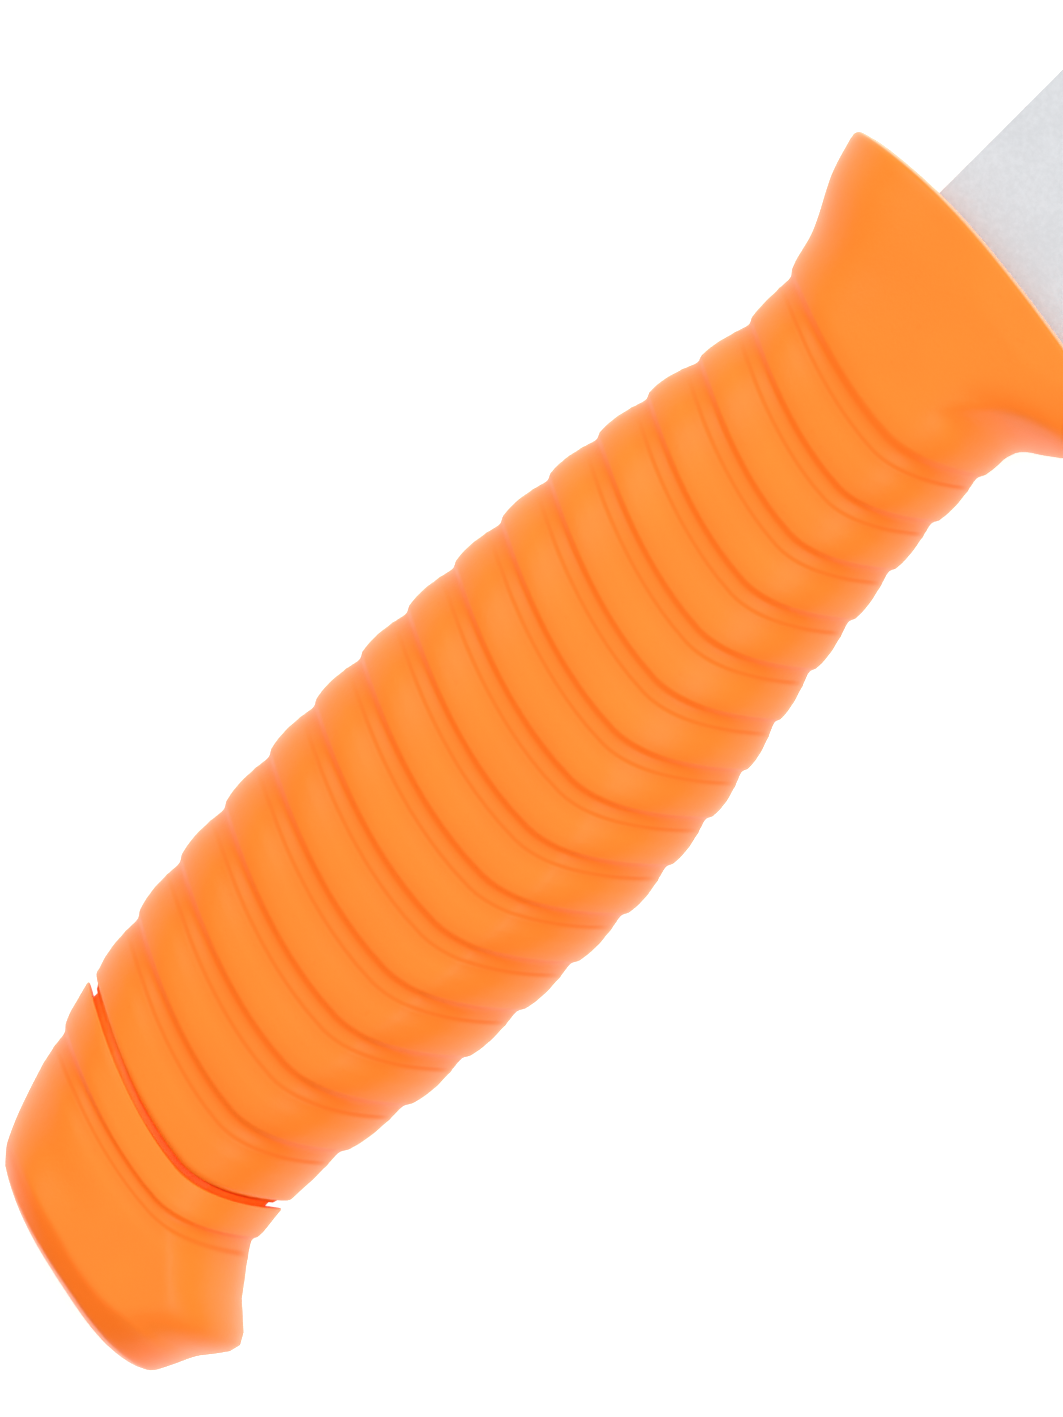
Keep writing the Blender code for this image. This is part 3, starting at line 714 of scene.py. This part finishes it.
class Finish(Graph):
    """A material and the nodes that make its look."""

    def __init__(self, name, colour, roughness, metallic=0.0):
        self.material = bpy.data.materials.new(name)
        self.material.use_nodes = True
        super().__init__(self.material.node_tree)
        self.shader = self.tree.nodes["Principled BSDF"]
        self.set("Base Color", opaque(colour))
        self.set("Roughness", roughness)
        self.set("Metallic", metallic)
        self.place = self.node("ShaderNodeTexCoord", output="Object")

    def set(self, socket, value):
        """Feed one of the shader's own sockets."""
        self.feed(self.shader.inputs[socket], value)

    def stretched(self, x, y, z):
        """Object coordinates in features per metre along each axis."""
        return self.node("ShaderNodeMapping", None, {"Vector": self.place, "Scale": (x, y, z)})

    def noise(self, scale, detail=2.0, roughness=0.5, vector=None):
        """Noise with scale features per metre, or along a stretched vector."""
        return self.node("ShaderNodeTexNoise", None, {
            "Vector": vector or self.place, "Scale": scale, "Detail": detail,
            "Roughness": roughness})

    def tint(self, name):
        """One of the painted shade and highlight amounts that the mesh keeps in its points."""
        return self.node("ShaderNodeAttribute", {"attribute_name": name}, output="Fac")

    def axis(self, name):
        """The X, Y or Z of the place on the piece."""
        return self.part(self.place, name)

    def mix(self, factor, first, second):
        """Colour from first to second by factor."""
        return self.node("ShaderNodeMix", {"data_type": "RGBA"}, {0: factor, 6: first, 7: second},
                         output=2)

    def bump(self, height, distance, strength=1.0):
        """Raise the surface by height times distance, in metres."""
        normal = self.node("ShaderNodeBump", None, {
            "Height": height, "Distance": distance, "Strength": strength})
        self.set("Normal", normal)


def moulded_rubber(settings):
    """Soft orange grip: satin moulded skin, a little cloudy, duller in the creases, with painted shade
    in the grooves and along their creases and a painted highlight on the guard's rim.
    """
    finish = Finish("moulded_orange_rubber", settings.colour, settings.roughness)
    finish.set("Specular IOR Level", 0.21)
    groove = finish.tint("groove")
    crease = finish.tint("crease")
    cloud = finish.noise(90.0, 3.0, 0.55)
    speck = finish.noise(1400.0, 2.0, 0.6)
    plain, light = opaque(settings.colour), opaque(settings.colour, 1.05)
    groove_shade_and_speck = opaque(settings.groove_shade_and_speck_colour)
    body = finish.mix(finish.range(cloud, 0.35, 0.7), plain, light)
    body = finish.mix(finish.range(speck, 0.62, 0.8) * 0.25, body, groove_shade_and_speck)
    # Painted shade: darker orange where the groove tint says the surface is sunk.
    body = finish.mix(groove * 0.9, body, groove_shade_and_speck)
    # Painted shade: dark lines along the creases.
    body = finish.mix(crease, body, opaque(settings.crease_shade_colour))
    # Painted highlight: paler orange on the guard's front rim.
    finish.set("Base Color", finish.mix(finish.tint("rim"), body, opaque(settings.rim_highlight_colour)))
    finish.set("Roughness", settings.roughness - 0.05 + cloud * 0.1 + crease * 0.2)
    skin = finish.noise(3200.0, 2.0, 0.6)
    ripple = finish.noise(160.0, 1.0, 0.4)
    finish.bump(skin * 0.25 + ripple * 0.75, 0.00006)
    return finish.material


def core_nylon():
    """Hard orange nylon: glossier than the grip, with flow marks and a painted glow that lights it in
    the shaded joint gap, though it is no lamp.
    """
    finish = Finish("core_orange_nylon", CORE_COLOURS[0], 0.38)
    finish.set("Specular IOR Level", 0.3)
    flow = finish.noise(60.0, 3.0, 0.6, finish.stretched(0.4, 2.5, 2.5))
    finish.set("Base Color", finish.mix(flow, *map(opaque, CORE_COLOURS)))
    # Painted glow: the core gives off light, though it is no lamp, so that it shows bright in the
    # shaded gap at the joint.
    finish.set("Emission Color", opaque(CORE_PAINTED_GLOW_COLOUR))
    finish.set("Emission Strength", CORE_PAINTED_GLOW)
    finish.set("Roughness", 0.3 + flow * 0.16)
    finish.bump(finish.noise(2600.0), 0.00002)
    return finish.material


def blade_steel(settings):
    """Blasted satin flats, with a ground bevel and a polished edge along the low side."""
    finish = Finish("blade_satin_steel", settings.colour, settings.roughness, 1.0)
    height = (finish.axis("Y") - ORIGIN.y) / MM - EDGE_Y
    along = (finish.axis("X") - ORIGIN.x) / MM
    bevel_height = settings.bevel_height / MM
    past_ricasso = finish.range(along, RICASSO_X - 0.3, RICASSO_X + 0.5)
    bevel = (1 - finish.range(height, bevel_height - 0.12, bevel_height + 0.02)) * past_ricasso
    edge = (1 - finish.range(height, 0.36, 0.46)) * past_ricasso
    cloud = finish.noise(120.0, 4.0, 0.6)
    speck = finish.noise(2200.0, 3.0, 0.7)
    grain = finish.noise(5200.0, 2.0, 0.7)
    grind = finish.noise(1.0, 2.0, 0.6, finish.stretched(9000.0, 260.0, 260.0))
    dark, bright = opaque(settings.colour, 0.96), opaque(settings.colour, 1.05)
    flats = finish.mix(finish.range(cloud * 0.4 + speck * 0.6, 0.35, 0.65), dark, bright)
    ground = finish.mix(grind, dark, bright)
    finish.set("Base Color", finish.mix(bevel, flats, ground))
    flat_roughness = settings.roughness - 0.04 + cloud * 0.12
    ground_roughness = 0.2 + grind * 0.18 - edge * 0.12
    finish.set("Roughness", flat_roughness * (1 - bevel) + ground_roughness * bevel)
    finish.bump((grain * 0.4 + speck * 0.6) * (1 - bevel) + grind * bevel * 0.3, 0.000008)
    return finish.material


def turned_steel(settings, name, roughness, ring_scale):
    """Turned and polished steel: fine rings round the X axis, and light handling marks."""
    finish = Finish(name, settings.colour, roughness, 1.0)
    rings = finish.noise(1.0, 2.0, 0.6, finish.stretched(ring_scale, 60.0, 60.0))
    smudge = finish.noise(240.0, 3.0, 0.6)
    dark = opaque(settings.colour, 0.8)
    finish.set("Base Color", finish.mix(rings, dark, opaque(settings.colour)))
    finish.set("Roughness", roughness - 0.06 + smudge * 0.12 + rings * 0.06)
    finish.bump(rings, 0.000006)
    return finish.material


def socket_acetal():
    """Natural acetal tube: milky, with faint rings from the die."""
    finish = Finish("natural_acetal", (0.78, 0.77, 0.72), 0.36)
    rings = finish.noise(1.0, 2.0, 0.5, finish.stretched(2400.0, 40.0, 40.0))
    finish.set("Base Color", finish.mix(rings, (0.74, 0.73, 0.68, 1.0), (0.82, 0.81, 0.77, 1.0)))
    finish.set("Roughness", 0.3 + rings * 0.12)
    finish.bump(rings, 0.00001)
    return finish.material


def ring_rubber():
    """Black nitrile with a dusty bloom."""
    finish = Finish("black_nitrile", (0.014, 0.014, 0.015), 0.6)
    bloom = finish.noise(900.0, 3.0, 0.6)
    bloomed = finish.range(bloom, 0.5, 0.8)
    finish.set("Base Color", finish.mix(bloomed, (0.011, 0.011, 0.012, 1.0),
                                        (0.035, 0.035, 0.036, 1.0)))
    finish.set("Roughness", 0.52 + bloom * 0.2)
    finish.bump(bloom, 0.00002)
    return finish.material


def studio_floor(settings):
    """Pale matt floor with the faintest mottle, lit a little from below like a light table."""
    finish = Finish("pale_floor", settings.floor_colour, 0.85)
    mottle = finish.noise(6.0, 2.0)
    soft = opaque(settings.floor_colour, 0.985)
    finish.set("Base Color", finish.mix(mottle, opaque(settings.floor_colour), soft))
    finish.set("Roughness", 0.8 + mottle * 0.08)
    finish.set("Emission Color", opaque((1.0, 1.0, 1.0)))
    finish.set("Emission Strength", settings.floor_glow)
    return finish.material


def paint(piece, material):
    """Give the piece one material."""
    piece.data.materials.clear()
    piece.data.materials.append(material)


# ---------------------------------------------------------------- pieces

def guard_front_x(y):
    """x of the guard's front face at height y: one arc seen from the side."""
    return line_x_at_height(GUARD_STATION, y) + GUARD_FRONT


def grip_rings(settings, half_slot):
    """Rings round the whole grip: outside, guard face, blade slot, cavity and back rim."""
    joint = JOINT_STATION - JOINT_HALF_WIDTH
    radius = settings.rim_radius / MM
    rings = list(rounded_edge(joint, JOINT_RIM, -1))[::-1]
    rings.append(Ring(handle_loop(joint - JOINT_RIM_WIDTH)))
    for station in reversed(range(JOINT_STATION)):
        rings += reversed(list(groove_rings(station, settings)))
    for station in spread(GUARD_STATION, GROOVE_ROWS[0] / STATION_LENGTH, GUARD_ROWS)[-2:0:-1]:
        rings.append(Ring(handle_loop(station)))
    # The middle steps of the guard's front rim get a painted highlight.
    for step, edge in enumerate(rounded_edge(GUARD_STATION, radius, 1, GUARD_RIM_STEPS)):
        moved = [(x + GUARD_FRONT, y, z) for x, y, z in edge.loop]
        rings.append(Ring(moved, rim=ease(*GUARD_RIM_HIGHLIGHT, step)))
    face = rings[-1].loop
    slot = slot_loop(guard_front_x, half_slot)
    for way in GUARD_FACE_ROWS:
        blend = blend_loops(face, slot, way)
        rings.append(Ring([(guard_front_x(y), y, z) for _, y, z in blend]))
    # The slot's wall and the cavity get the groove's painted shade.
    rings.append(Ring(slot, SLOT_WALL_SHADE))
    rings.append(Ring([(x - SLOT_WALL, y, z) for x, y, z in slot], 1.0))
    rings.append(Ring(slot_loop(lambda y: CAVITY_FRONT_X, half_slot), 1.0))
    rings += cavity_rings(joint)
    rings.append(rings[0])
    return rings


def cavity_rings(joint):
    """Cavity that the grip's core fills, from its flat front to the bowed mouth."""
    back_x = line_x_at_height(joint, 0.0)
    for step in range(GRIP_CAVITY_STEPS + 1):
        way = step / GRIP_CAVITY_STEPS
        x = CAVITY_FRONT_X + (back_x - CAVITY_FRONT_X) * way

        def x_at(y, way=way):
            return CAVITY_FRONT_X * (1 - way) + line_x_at_height(joint, y) * way

        # Full painted shade inside the cavity.
        yield Ring(core_loop(x_at, through(CORE_TOP, x), through(CORE_LOW, x),
                             through(CORE_HALF_THICKNESS, x)), 1.0)


def cap_rings(settings):
    """Rings round the pommel cap, from the inside of its cavity round the rim to the butt."""
    mouth = JOINT_STATION + JOINT_HALF_WIDTH
    rings = []
    for step in reversed(range(CAP_CAVITY_STEPS + 1)):
        way = step / CAP_CAVITY_STEPS

        def x_at(y, way=way):
            return line_x_at_height(mouth, y) * (1 - way) + CAP_CAVITY_BACK_X * way

        # Full painted shade inside the cap's cavity.
        rings.append(Ring(core_loop(x_at, through(CAP_CORE_TOP, way), through(CAP_CORE_LOW, way),
                                    through(CAP_CORE_HALF_THICKNESS, way)), 1.0))
    rings.insert(0, Ring([(x, y, 0.0) for x, y, _ in rings[0].loop], 1.0))
    rings += list(rounded_edge(mouth, CAP_RIM, 1, 3))[::-1]
    rings.append(Ring(handle_loop(mouth + CAP_RIM_WIDTH)))
    rings += groove_rings(CAP_GROOVE_STATION, settings)
    start = CAP_GROOVE_STATION + GROOVE_ROWS[-1] / STATION_LENGTH
    stations = spread(start, BUTT_BAND_START, 8)[1:]
    stations += spread(BUTT_BAND_START, BUTT_ROUND_START, 14)[1:]
    for way in spread(0.0, 1.0, 9)[1:]:
        round_way = math.sin(math.pi / 2 * way)
        stations.append(BUTT_ROUND_START + (BUTT_STATION - BUTT_ROUND_START) * round_way)
    # The butt's roll-off band gets the groove's painted shade.
    rings += [Ring(handle_loop(station), ease(*BUTT_BAND_SHADE, station)) for station in stations]
    rings[-1].loop = [(x, y, 0.0) for x, y, _ in rings[-1].loop]
    return rings


def spine_drop(x):
    """How far the spine has come down at x, along a quarter of an ellipse to the nose."""
    way = part_way(BLADE_LENGTH - TIP_DROP_LENGTH, BLADE_LENGTH, x)
    return (SPINE_Y - EDGE_Y - TIP_NOSE) * (1 - math.sqrt(1 - way ** 2))


def edge_lift(x):
    """How far the edge has risen at x, round the nose of the tip."""
    way = part_way(BLADE_LENGTH - TIP_NOSE, BLADE_LENGTH, x)
    return TIP_NOSE * (1 - math.sqrt(1 - way ** 2))


def blade_columns():
    """(x, top, low) along the tang and the blade, to the nose of the sheepsfoot tip."""
    drop_x = BLADE_LENGTH - TIP_DROP_LENGTH
    places = [SHOULDER_X + 0.001, -1.0, 2.0, 5.0, RICASSO_X, RICASSO_X + 0.4, RICASSO_X + 1.0]
    places += spread(RICASSO_X + 4.0, drop_x, 14)
    for step in range(1, TIP_COLUMNS + 1):
        places.append(drop_x + TIP_DROP_LENGTH * math.sin(math.pi / 2 * step / TIP_COLUMNS))
    body = [(x, SPINE_Y - spine_drop(x), EDGE_Y + edge_lift(x)) for x in places]
    return list(TANG_COLUMNS) + body


def blade_rows(bevel_height):
    """Rows of points over the blade's side view, from the edge to the spine."""
    rows = []
    for x, top, low in blade_columns():
        height = top - low
        edge_line = min(EDGE_LINE, height * 0.1)
        bevel_line = min(bevel_height, height * 0.8)
        heights = [0.0, edge_line, bevel_line]
        heights += [bevel_line + (height - bevel_line) * way for way in FLAT_ROWS]
        rows.append([(x, low + value, 0.0) for value in heights])
    return rows


def grind_bevel(piece, settings):
    """Thin the edge rows of the slab, so that its sides below the bevel line run to the edge."""
    bevel_height = settings.bevel_height / MM
    thickness = (BLADE_HIGH.z - BLADE_LOW.z) / MM
    edge = settings.edge_thickness / MM
    at_edge_line = edge + (thickness - edge) * EDGE_LINE / bevel_height
    start = RICASSO_X + 0.2
    middle = ORIGIN.copy()
    for top_of_row, left in ((0.02, edge), (EDGE_LINE + 0.01, at_edge_line)):
        select_verts(piece, lambda place: place.x > start and
                     place.y - EDGE_Y - edge_lift(place.x) < top_of_row and
                     abs(place.z) > thickness * 0.49)
        bpy.ops.transform.resize(value=(1.0, 1.0, left / thickness), center_override=middle)
        leave_edit()


def break_spine_corners(piece, width):
    """Round both long corners of the spine, from the guard down to the tip."""
    enter_edit(piece, "DESELECT", "EDGE")
    leave_edit()
    for edge in piece.data.edges:
        ends = [(piece.data.vertices[k].co - ORIGIN) / MM for k in edge.vertices]
        edge.select = all(on_spine_corner(place) for place in ends)
    bpy.ops.object.mode_set(mode="EDIT")
    bpy.ops.mesh.bevel(offset=width, segments=3, affect="EDGES", clamp_overlap=True)
    leave_edit()


def on_spine_corner(place):
    """Whether a place lies on a corner between the blade's side and its spine."""
    if place.x < SHOULDER_X + 0.0005 or place.x > BLADE_LENGTH - TIP_CORNER:
        return False
    return abs(place.y - SPINE_Y + spine_drop(place.x)) < 0.01 and abs(place.z) > 1.4


def drill(piece, node, radius):
    """Drill a hole across the piece where a pin of the frame goes through."""
    low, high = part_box(node)
    middle = (low + high) / 2
    deselect_everything()
    bpy.ops.mesh.primitive_cylinder_add(vertices=48, radius=radius * MM, depth=20 * MM,
                                        location=middle)
    bit = name_new_piece("drill_bit")
    apply_modifier(piece, "BOOLEAN", operation="DIFFERENCE", object=bit)
    bpy.data.objects.remove(bit, do_unlink=True)


def spike_profile():
    """Tail in the cap, shank with two ring grooves, long curved taper and a blunt tip."""
    tail = (SPIKE_LOW.x - ORIGIN.x) / MM
    tip = (SPIKE_HIGH.x - ORIGIN.x) / MM
    shank = (SPIKE_HIGH.y - SPIKE_LOW.y) / 2 / MM
    shoulder = tail + TENON_LENGTH
    profile = [(tail, 0.0), (tail, TENON_RADIUS - TENON_CHAMFER), (tail + TENON_CHAMFER, TENON_RADIUS),
               (shoulder, TENON_RADIUS), (shoulder, shank - SHOULDER_CHAMFER),
               (shoulder + SHOULDER_CHAMFER, shank)]
    half = RING_GROOVE_HALF_WIDTH
    chamfer = RING_GROOVE_CHAMFER
    for node in reversed(O_RINGS):
        low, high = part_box(node)
        ring_x = ((low.x + high.x) / 2 - ORIGIN.x) / MM
        profile += [(ring_x - half - chamfer, shank), (ring_x - half, shank - chamfer),
                    (ring_x - half, RING_GROOVE_RADIUS), (ring_x + half, RING_GROOVE_RADIUS),
                    (ring_x + half, shank - chamfer), (ring_x + half + chamfer, shank)]
    profile.append((TAPER_X, shank))
    tip_start = tip - SPIKE_TIP_RADIUS
    for way in spread(0.0, 1.0, TAPER_ROWS)[1:]:
        radius = SPIKE_TIP_RADIUS + (shank - SPIKE_TIP_RADIUS) * (1 - way ** TAPER_POWER)
        profile.append((TAPER_X + (tip_start - TAPER_X) * way, radius))
    for step in range(1, SPIKE_TIP_STEPS):
        angle = math.pi / 2 * step / SPIKE_TIP_STEPS
        profile.append((tip_start + SPIKE_TIP_RADIUS * math.sin(angle),
                        SPIKE_TIP_RADIUS * math.cos(angle)))
    return profile + [(tip, 0.0)]


# ---------------------------------------------------------------- operators

class KNIFE_OT_grip(bpy.types.Operator):
    """Mould the ribbed grip with its guard"""

    bl_idname = "knife.grip"
    bl_label = "Ribbed Grip"

    def execute(self, context):
        settings = context.scene.knife_grip
        half_slot = (BLADE_HIGH.z - BLADE_LOW.z) / 2 / MM
        grip = add_moulding("ribbed_grip", grip_rings(settings, half_slot))
        shade_smooth(grip, 50)
        paint(grip, moulded_rubber(settings))
        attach(grip, "handle")
        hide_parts("grip_sleeve")
        return {"FINISHED"}


class KNIFE_OT_pommel_cap(bpy.types.Operator):
    """Mould the hooked pommel cap"""

    bl_idname = "knife.pommel_cap"
    bl_label = "Pommel Cap"

    def execute(self, context):
        cap = add_moulding("hooked_cap", cap_rings(context.scene.knife_grip))
        shade_smooth(cap, 50)
        paint(cap, bpy.data.materials["moulded_orange_rubber"])
        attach(cap, "spike")
        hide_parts("pommel_cap")
        return {"FINISHED"}


class KNIFE_OT_blade(bpy.types.Operator):
    """Forge and grind the sheepsfoot blade with its tang"""

    bl_idname = "knife.blade"
    bl_label = "Blade"

    def execute(self, context):
        settings = context.scene.knife_steel
        rows = blade_rows(settings.bevel_height / MM)
        blade = add_grid("ground_blade", len(rows[0]) - 1, len(rows) - 1, rows)
        weld(blade)
        apply_modifier(blade, "SOLIDIFY", thickness=BLADE_HIGH.z - BLADE_LOW.z, offset=0.0)
        grind_bevel(blade, settings)
        break_spine_corners(blade, settings.spine_round)
        weld(blade)
        for node, radius in TANG_PINS:
            drill(blade, node, radius)
        shade_smooth(blade, 8)
        paint(blade, blade_steel(settings))
        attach(blade, "handle")
        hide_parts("blade")
        return {"FINISHED"}


class KNIFE_OT_spike(bpy.types.Operator):
    """Turn the marlinspike"""

    bl_idname = "knife.spike"
    bl_label = "Marlinspike"

    def execute(self, context):
        centre = (SPIKE_LOW + SPIKE_HIGH) / 2
        centre.x = ORIGIN.x
        spike = lathe("turned_spike", spike_profile(), centre, 64)
        drill(spike, "cap_cross_pin", CROSS_PIN_RADIUS)
        shade_smooth(spike, 30)
        paint(spike, turned_steel(context.scene.knife_steel, "polished_spike_steel", 0.2, 5000.0))
        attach(spike, "spike")
        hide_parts("marlinspike")
        return {"FINISHED"}


class KNIFE_OT_o_rings(bpy.types.Operator):
    """Fit the two O-rings on the spike's shank"""

    bl_idname = "knife.o_rings"
    bl_label = "O-rings"

    def execute(self, context):
        rubber = ring_rubber()
        for node in O_RINGS:
            low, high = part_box(node)
            cord = (high.x - low.x) / 2
            outer = (high.y - low.y) / 2
            deselect_everything()
            bpy.ops.mesh.primitive_torus_add(
                location=(low + high) / 2, rotation=(0.0, math.pi / 2, 0.0), major_segments=64,
                minor_segments=18, major_radius=outer - cord, minor_radius=cord)
            ring = name_new_piece("fitted_" + node)
            place_at_origin(ring)
            self.press_flat(ring, (low + high) / 2, outer)
            shade_smooth(ring, 60)
            paint(ring, rubber)
            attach(ring, "spike")
            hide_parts(node)
        return {"FINISHED"}

    @staticmethod
    def press_flat(ring, centre, outer):
        """Squeeze the outside of the ring a little, as the socket's wall does."""
        select_verts(ring, lambda place: math.hypot(
            place.y - (centre.y - ORIGIN.y) / MM, place.z) > outer / MM - 0.06)
        squeeze = (1.0, O_RING_SQUEEZE, O_RING_SQUEEZE)
        bpy.ops.transform.resize(value=squeeze, center_override=centre)
        leave_edit()


class KNIFE_OT_inner_parts(bpy.types.Operator):
    """Finish the cores, the socket and the pins, which keep their own shapes"""

    bl_idname = "knife.inner_parts"
    bl_label = "Inner Parts"

    def execute(self, context):
        nylon = core_nylon()
        pin_steel = turned_steel(context.scene.knife_steel, "turned_pin_steel", 0.32, 3000.0)
        finishes = {
            "grip_core": nylon,
            "cap_core": nylon,
            "spike_socket": socket_acetal(),
            "tang_pin_front": pin_steel,
            "tang_pin_rear": pin_steel,
            "cap_cross_pin": pin_steel,
        }
        for node, material in finishes.items():
            paint(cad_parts[node], material)
        return {"FINISHED"}


class KNIFE_OT_stage(bpy.types.Operator):
    """Set the pale floor, the soft light and the camera"""

    bl_idname = "knife.stage"
    bl_label = "Studio"

    def execute(self, context):
        settings = context.scene.knife_stage
        self.add_floor(settings)
        self.set_room_light(context.scene, settings)
        for name, offset, size, power in (
                ("softbox_spine_side", (0.2, 0.48, 0.4), SOFTBOX_SIZE, settings.softbox_power),
                ("softbox_belly_side", (0.2, -0.3, 0.55), SOFTBOX_SIZE, settings.softbox_power),
                ("strip_ahead", (0.55, 0.12, 0.22), STRIP_SIZE, settings.strip_power)):
            self.add_softbox(name, offset, size, power)
        self.add_camera(context.scene, settings.lens)
        context.scene.view_settings.view_transform = "Standard"
        return {"FINISHED"}

    @staticmethod
    def add_floor(settings):
        """Lay the floor just below the knife."""
        deselect_everything()
        bpy.ops.mesh.primitive_plane_add(size=8.0, location=(0.0, 0.0, CAD_BOX[0].z - 0.00002))
        floor = name_new_piece("studio_floor")
        paint(floor, studio_floor(settings))

    @staticmethod
    def set_room_light(scene, settings):
        """White room: brightest straight above, and dimmer towards the sides and the butt."""
        world = bpy.data.worlds.new("white_room")
        world.use_nodes = True
        graph = Graph(world.node_tree)
        background = world.node_tree.nodes["Background"]
        background.inputs["Color"].default_value = opaque((1.0, 1.0, 1.0))
        direction = graph.node("ShaderNodeTexCoord", output="Generated")
        upward = graph.part(direction, "Z")
        forward = graph.part(direction, "X")
        glow = graph.range(upward, 0.0, 1.0, settings.horizon_strength, settings.ceiling_strength)
        share = graph.range(forward, *ROOM_LIGHT_RISE, settings.butt_side_share, 1.0)
        graph.feed(background.inputs["Strength"], glow * share)
        scene.world = world

    @staticmethod
    def add_softbox(name, offset, size, power):
        """Area light at an offset in metres from the handle's middle, turned to face it."""
        target = Vector((ORIGIN.x + LIT_POINT_X, ORIGIN.y, 0.0))
        place = target + Vector(offset)
        bpy.ops.object.light_add(type="AREA", location=place)
        softbox = bpy.context.object
        softbox.name = name
        softbox.data.energy = power
        softbox.data.shape = "RECTANGLE"
        softbox.data.size, softbox.data.size_y = size
        softbox.rotation_euler = (target - place).to_track_quat("-Z", "Y").to_euler()

    @staticmethod
    def add_camera(scene, lens):
        """Look straight down on the knife's side, with the blade to the upper right."""
        distance = VIEW_HEIGHT * MM * lens / SENSOR
        centre = ORIGIN + Vector((*VIEW_CENTRE, 0.0)) * MM
        bpy.ops.object.camera_add(location=centre + Vector((0.0, 0.0, distance)),
                                  rotation=(0.0, 0.0, math.radians(VIEW_TURN)))
        camera = bpy.context.object
        camera.data.lens = lens
        camera.data.sensor_width = SENSOR
        camera.data.clip_end = 50.0
        scene.camera = camera


class KNIFE_PT_panel(bpy.types.Panel):
    """Lists the knife's pieces in the sidebar"""

    bl_idname = "KNIFE_PT_panel"
    bl_label = "Rigging Knife"
    bl_space_type = "VIEW_3D"
    bl_region_type = "UI"
    bl_category = "Knife"

    def draw(self, context):
        scene = context.scene
        for title, settings in (("Grip", scene.knife_grip), ("Steel", scene.knife_steel),
                                ("Studio", scene.knife_stage)):
            box = self.layout.box()
            box.label(text=title)
            for name in type(settings).__annotations__:
                box.prop(settings, name)
        for operator in OPERATORS:
            self.layout.operator(operator.bl_idname)


SETTINGS = {
    "knife_grip": KnifeGripSettings,
    "knife_steel": KnifeSteelSettings,
    "knife_stage": KnifeStageSettings,
}
OPERATORS = (KNIFE_OT_grip, KNIFE_OT_pommel_cap, KNIFE_OT_blade, KNIFE_OT_spike, KNIFE_OT_o_rings,
             KNIFE_OT_inner_parts, KNIFE_OT_stage)


def register():
    for group in SETTINGS.values():
        bpy.utils.register_class(group)
    for name, group in SETTINGS.items():
        setattr(bpy.types.Scene, name, PointerProperty(type=group))
    for operator in OPERATORS:
        bpy.utils.register_class(operator)
    bpy.utils.register_class(KNIFE_PT_panel)


def unregister():
    bpy.utils.unregister_class(KNIFE_PT_panel)
    for operator in reversed(OPERATORS):
        bpy.utils.unregister_class(operator)
    for name, group in SETTINGS.items():
        delattr(bpy.types.Scene, name)
        bpy.utils.unregister_class(group)


def main():
    register()
    bpy.ops.knife.grip()
    bpy.ops.knife.pommel_cap()
    bpy.ops.knife.blade()
    bpy.ops.knife.spike()
    bpy.ops.knife.o_rings()
    bpy.ops.knife.inner_parts()
    bpy.ops.knife.stage()


if __name__ == "__main__":
    main()
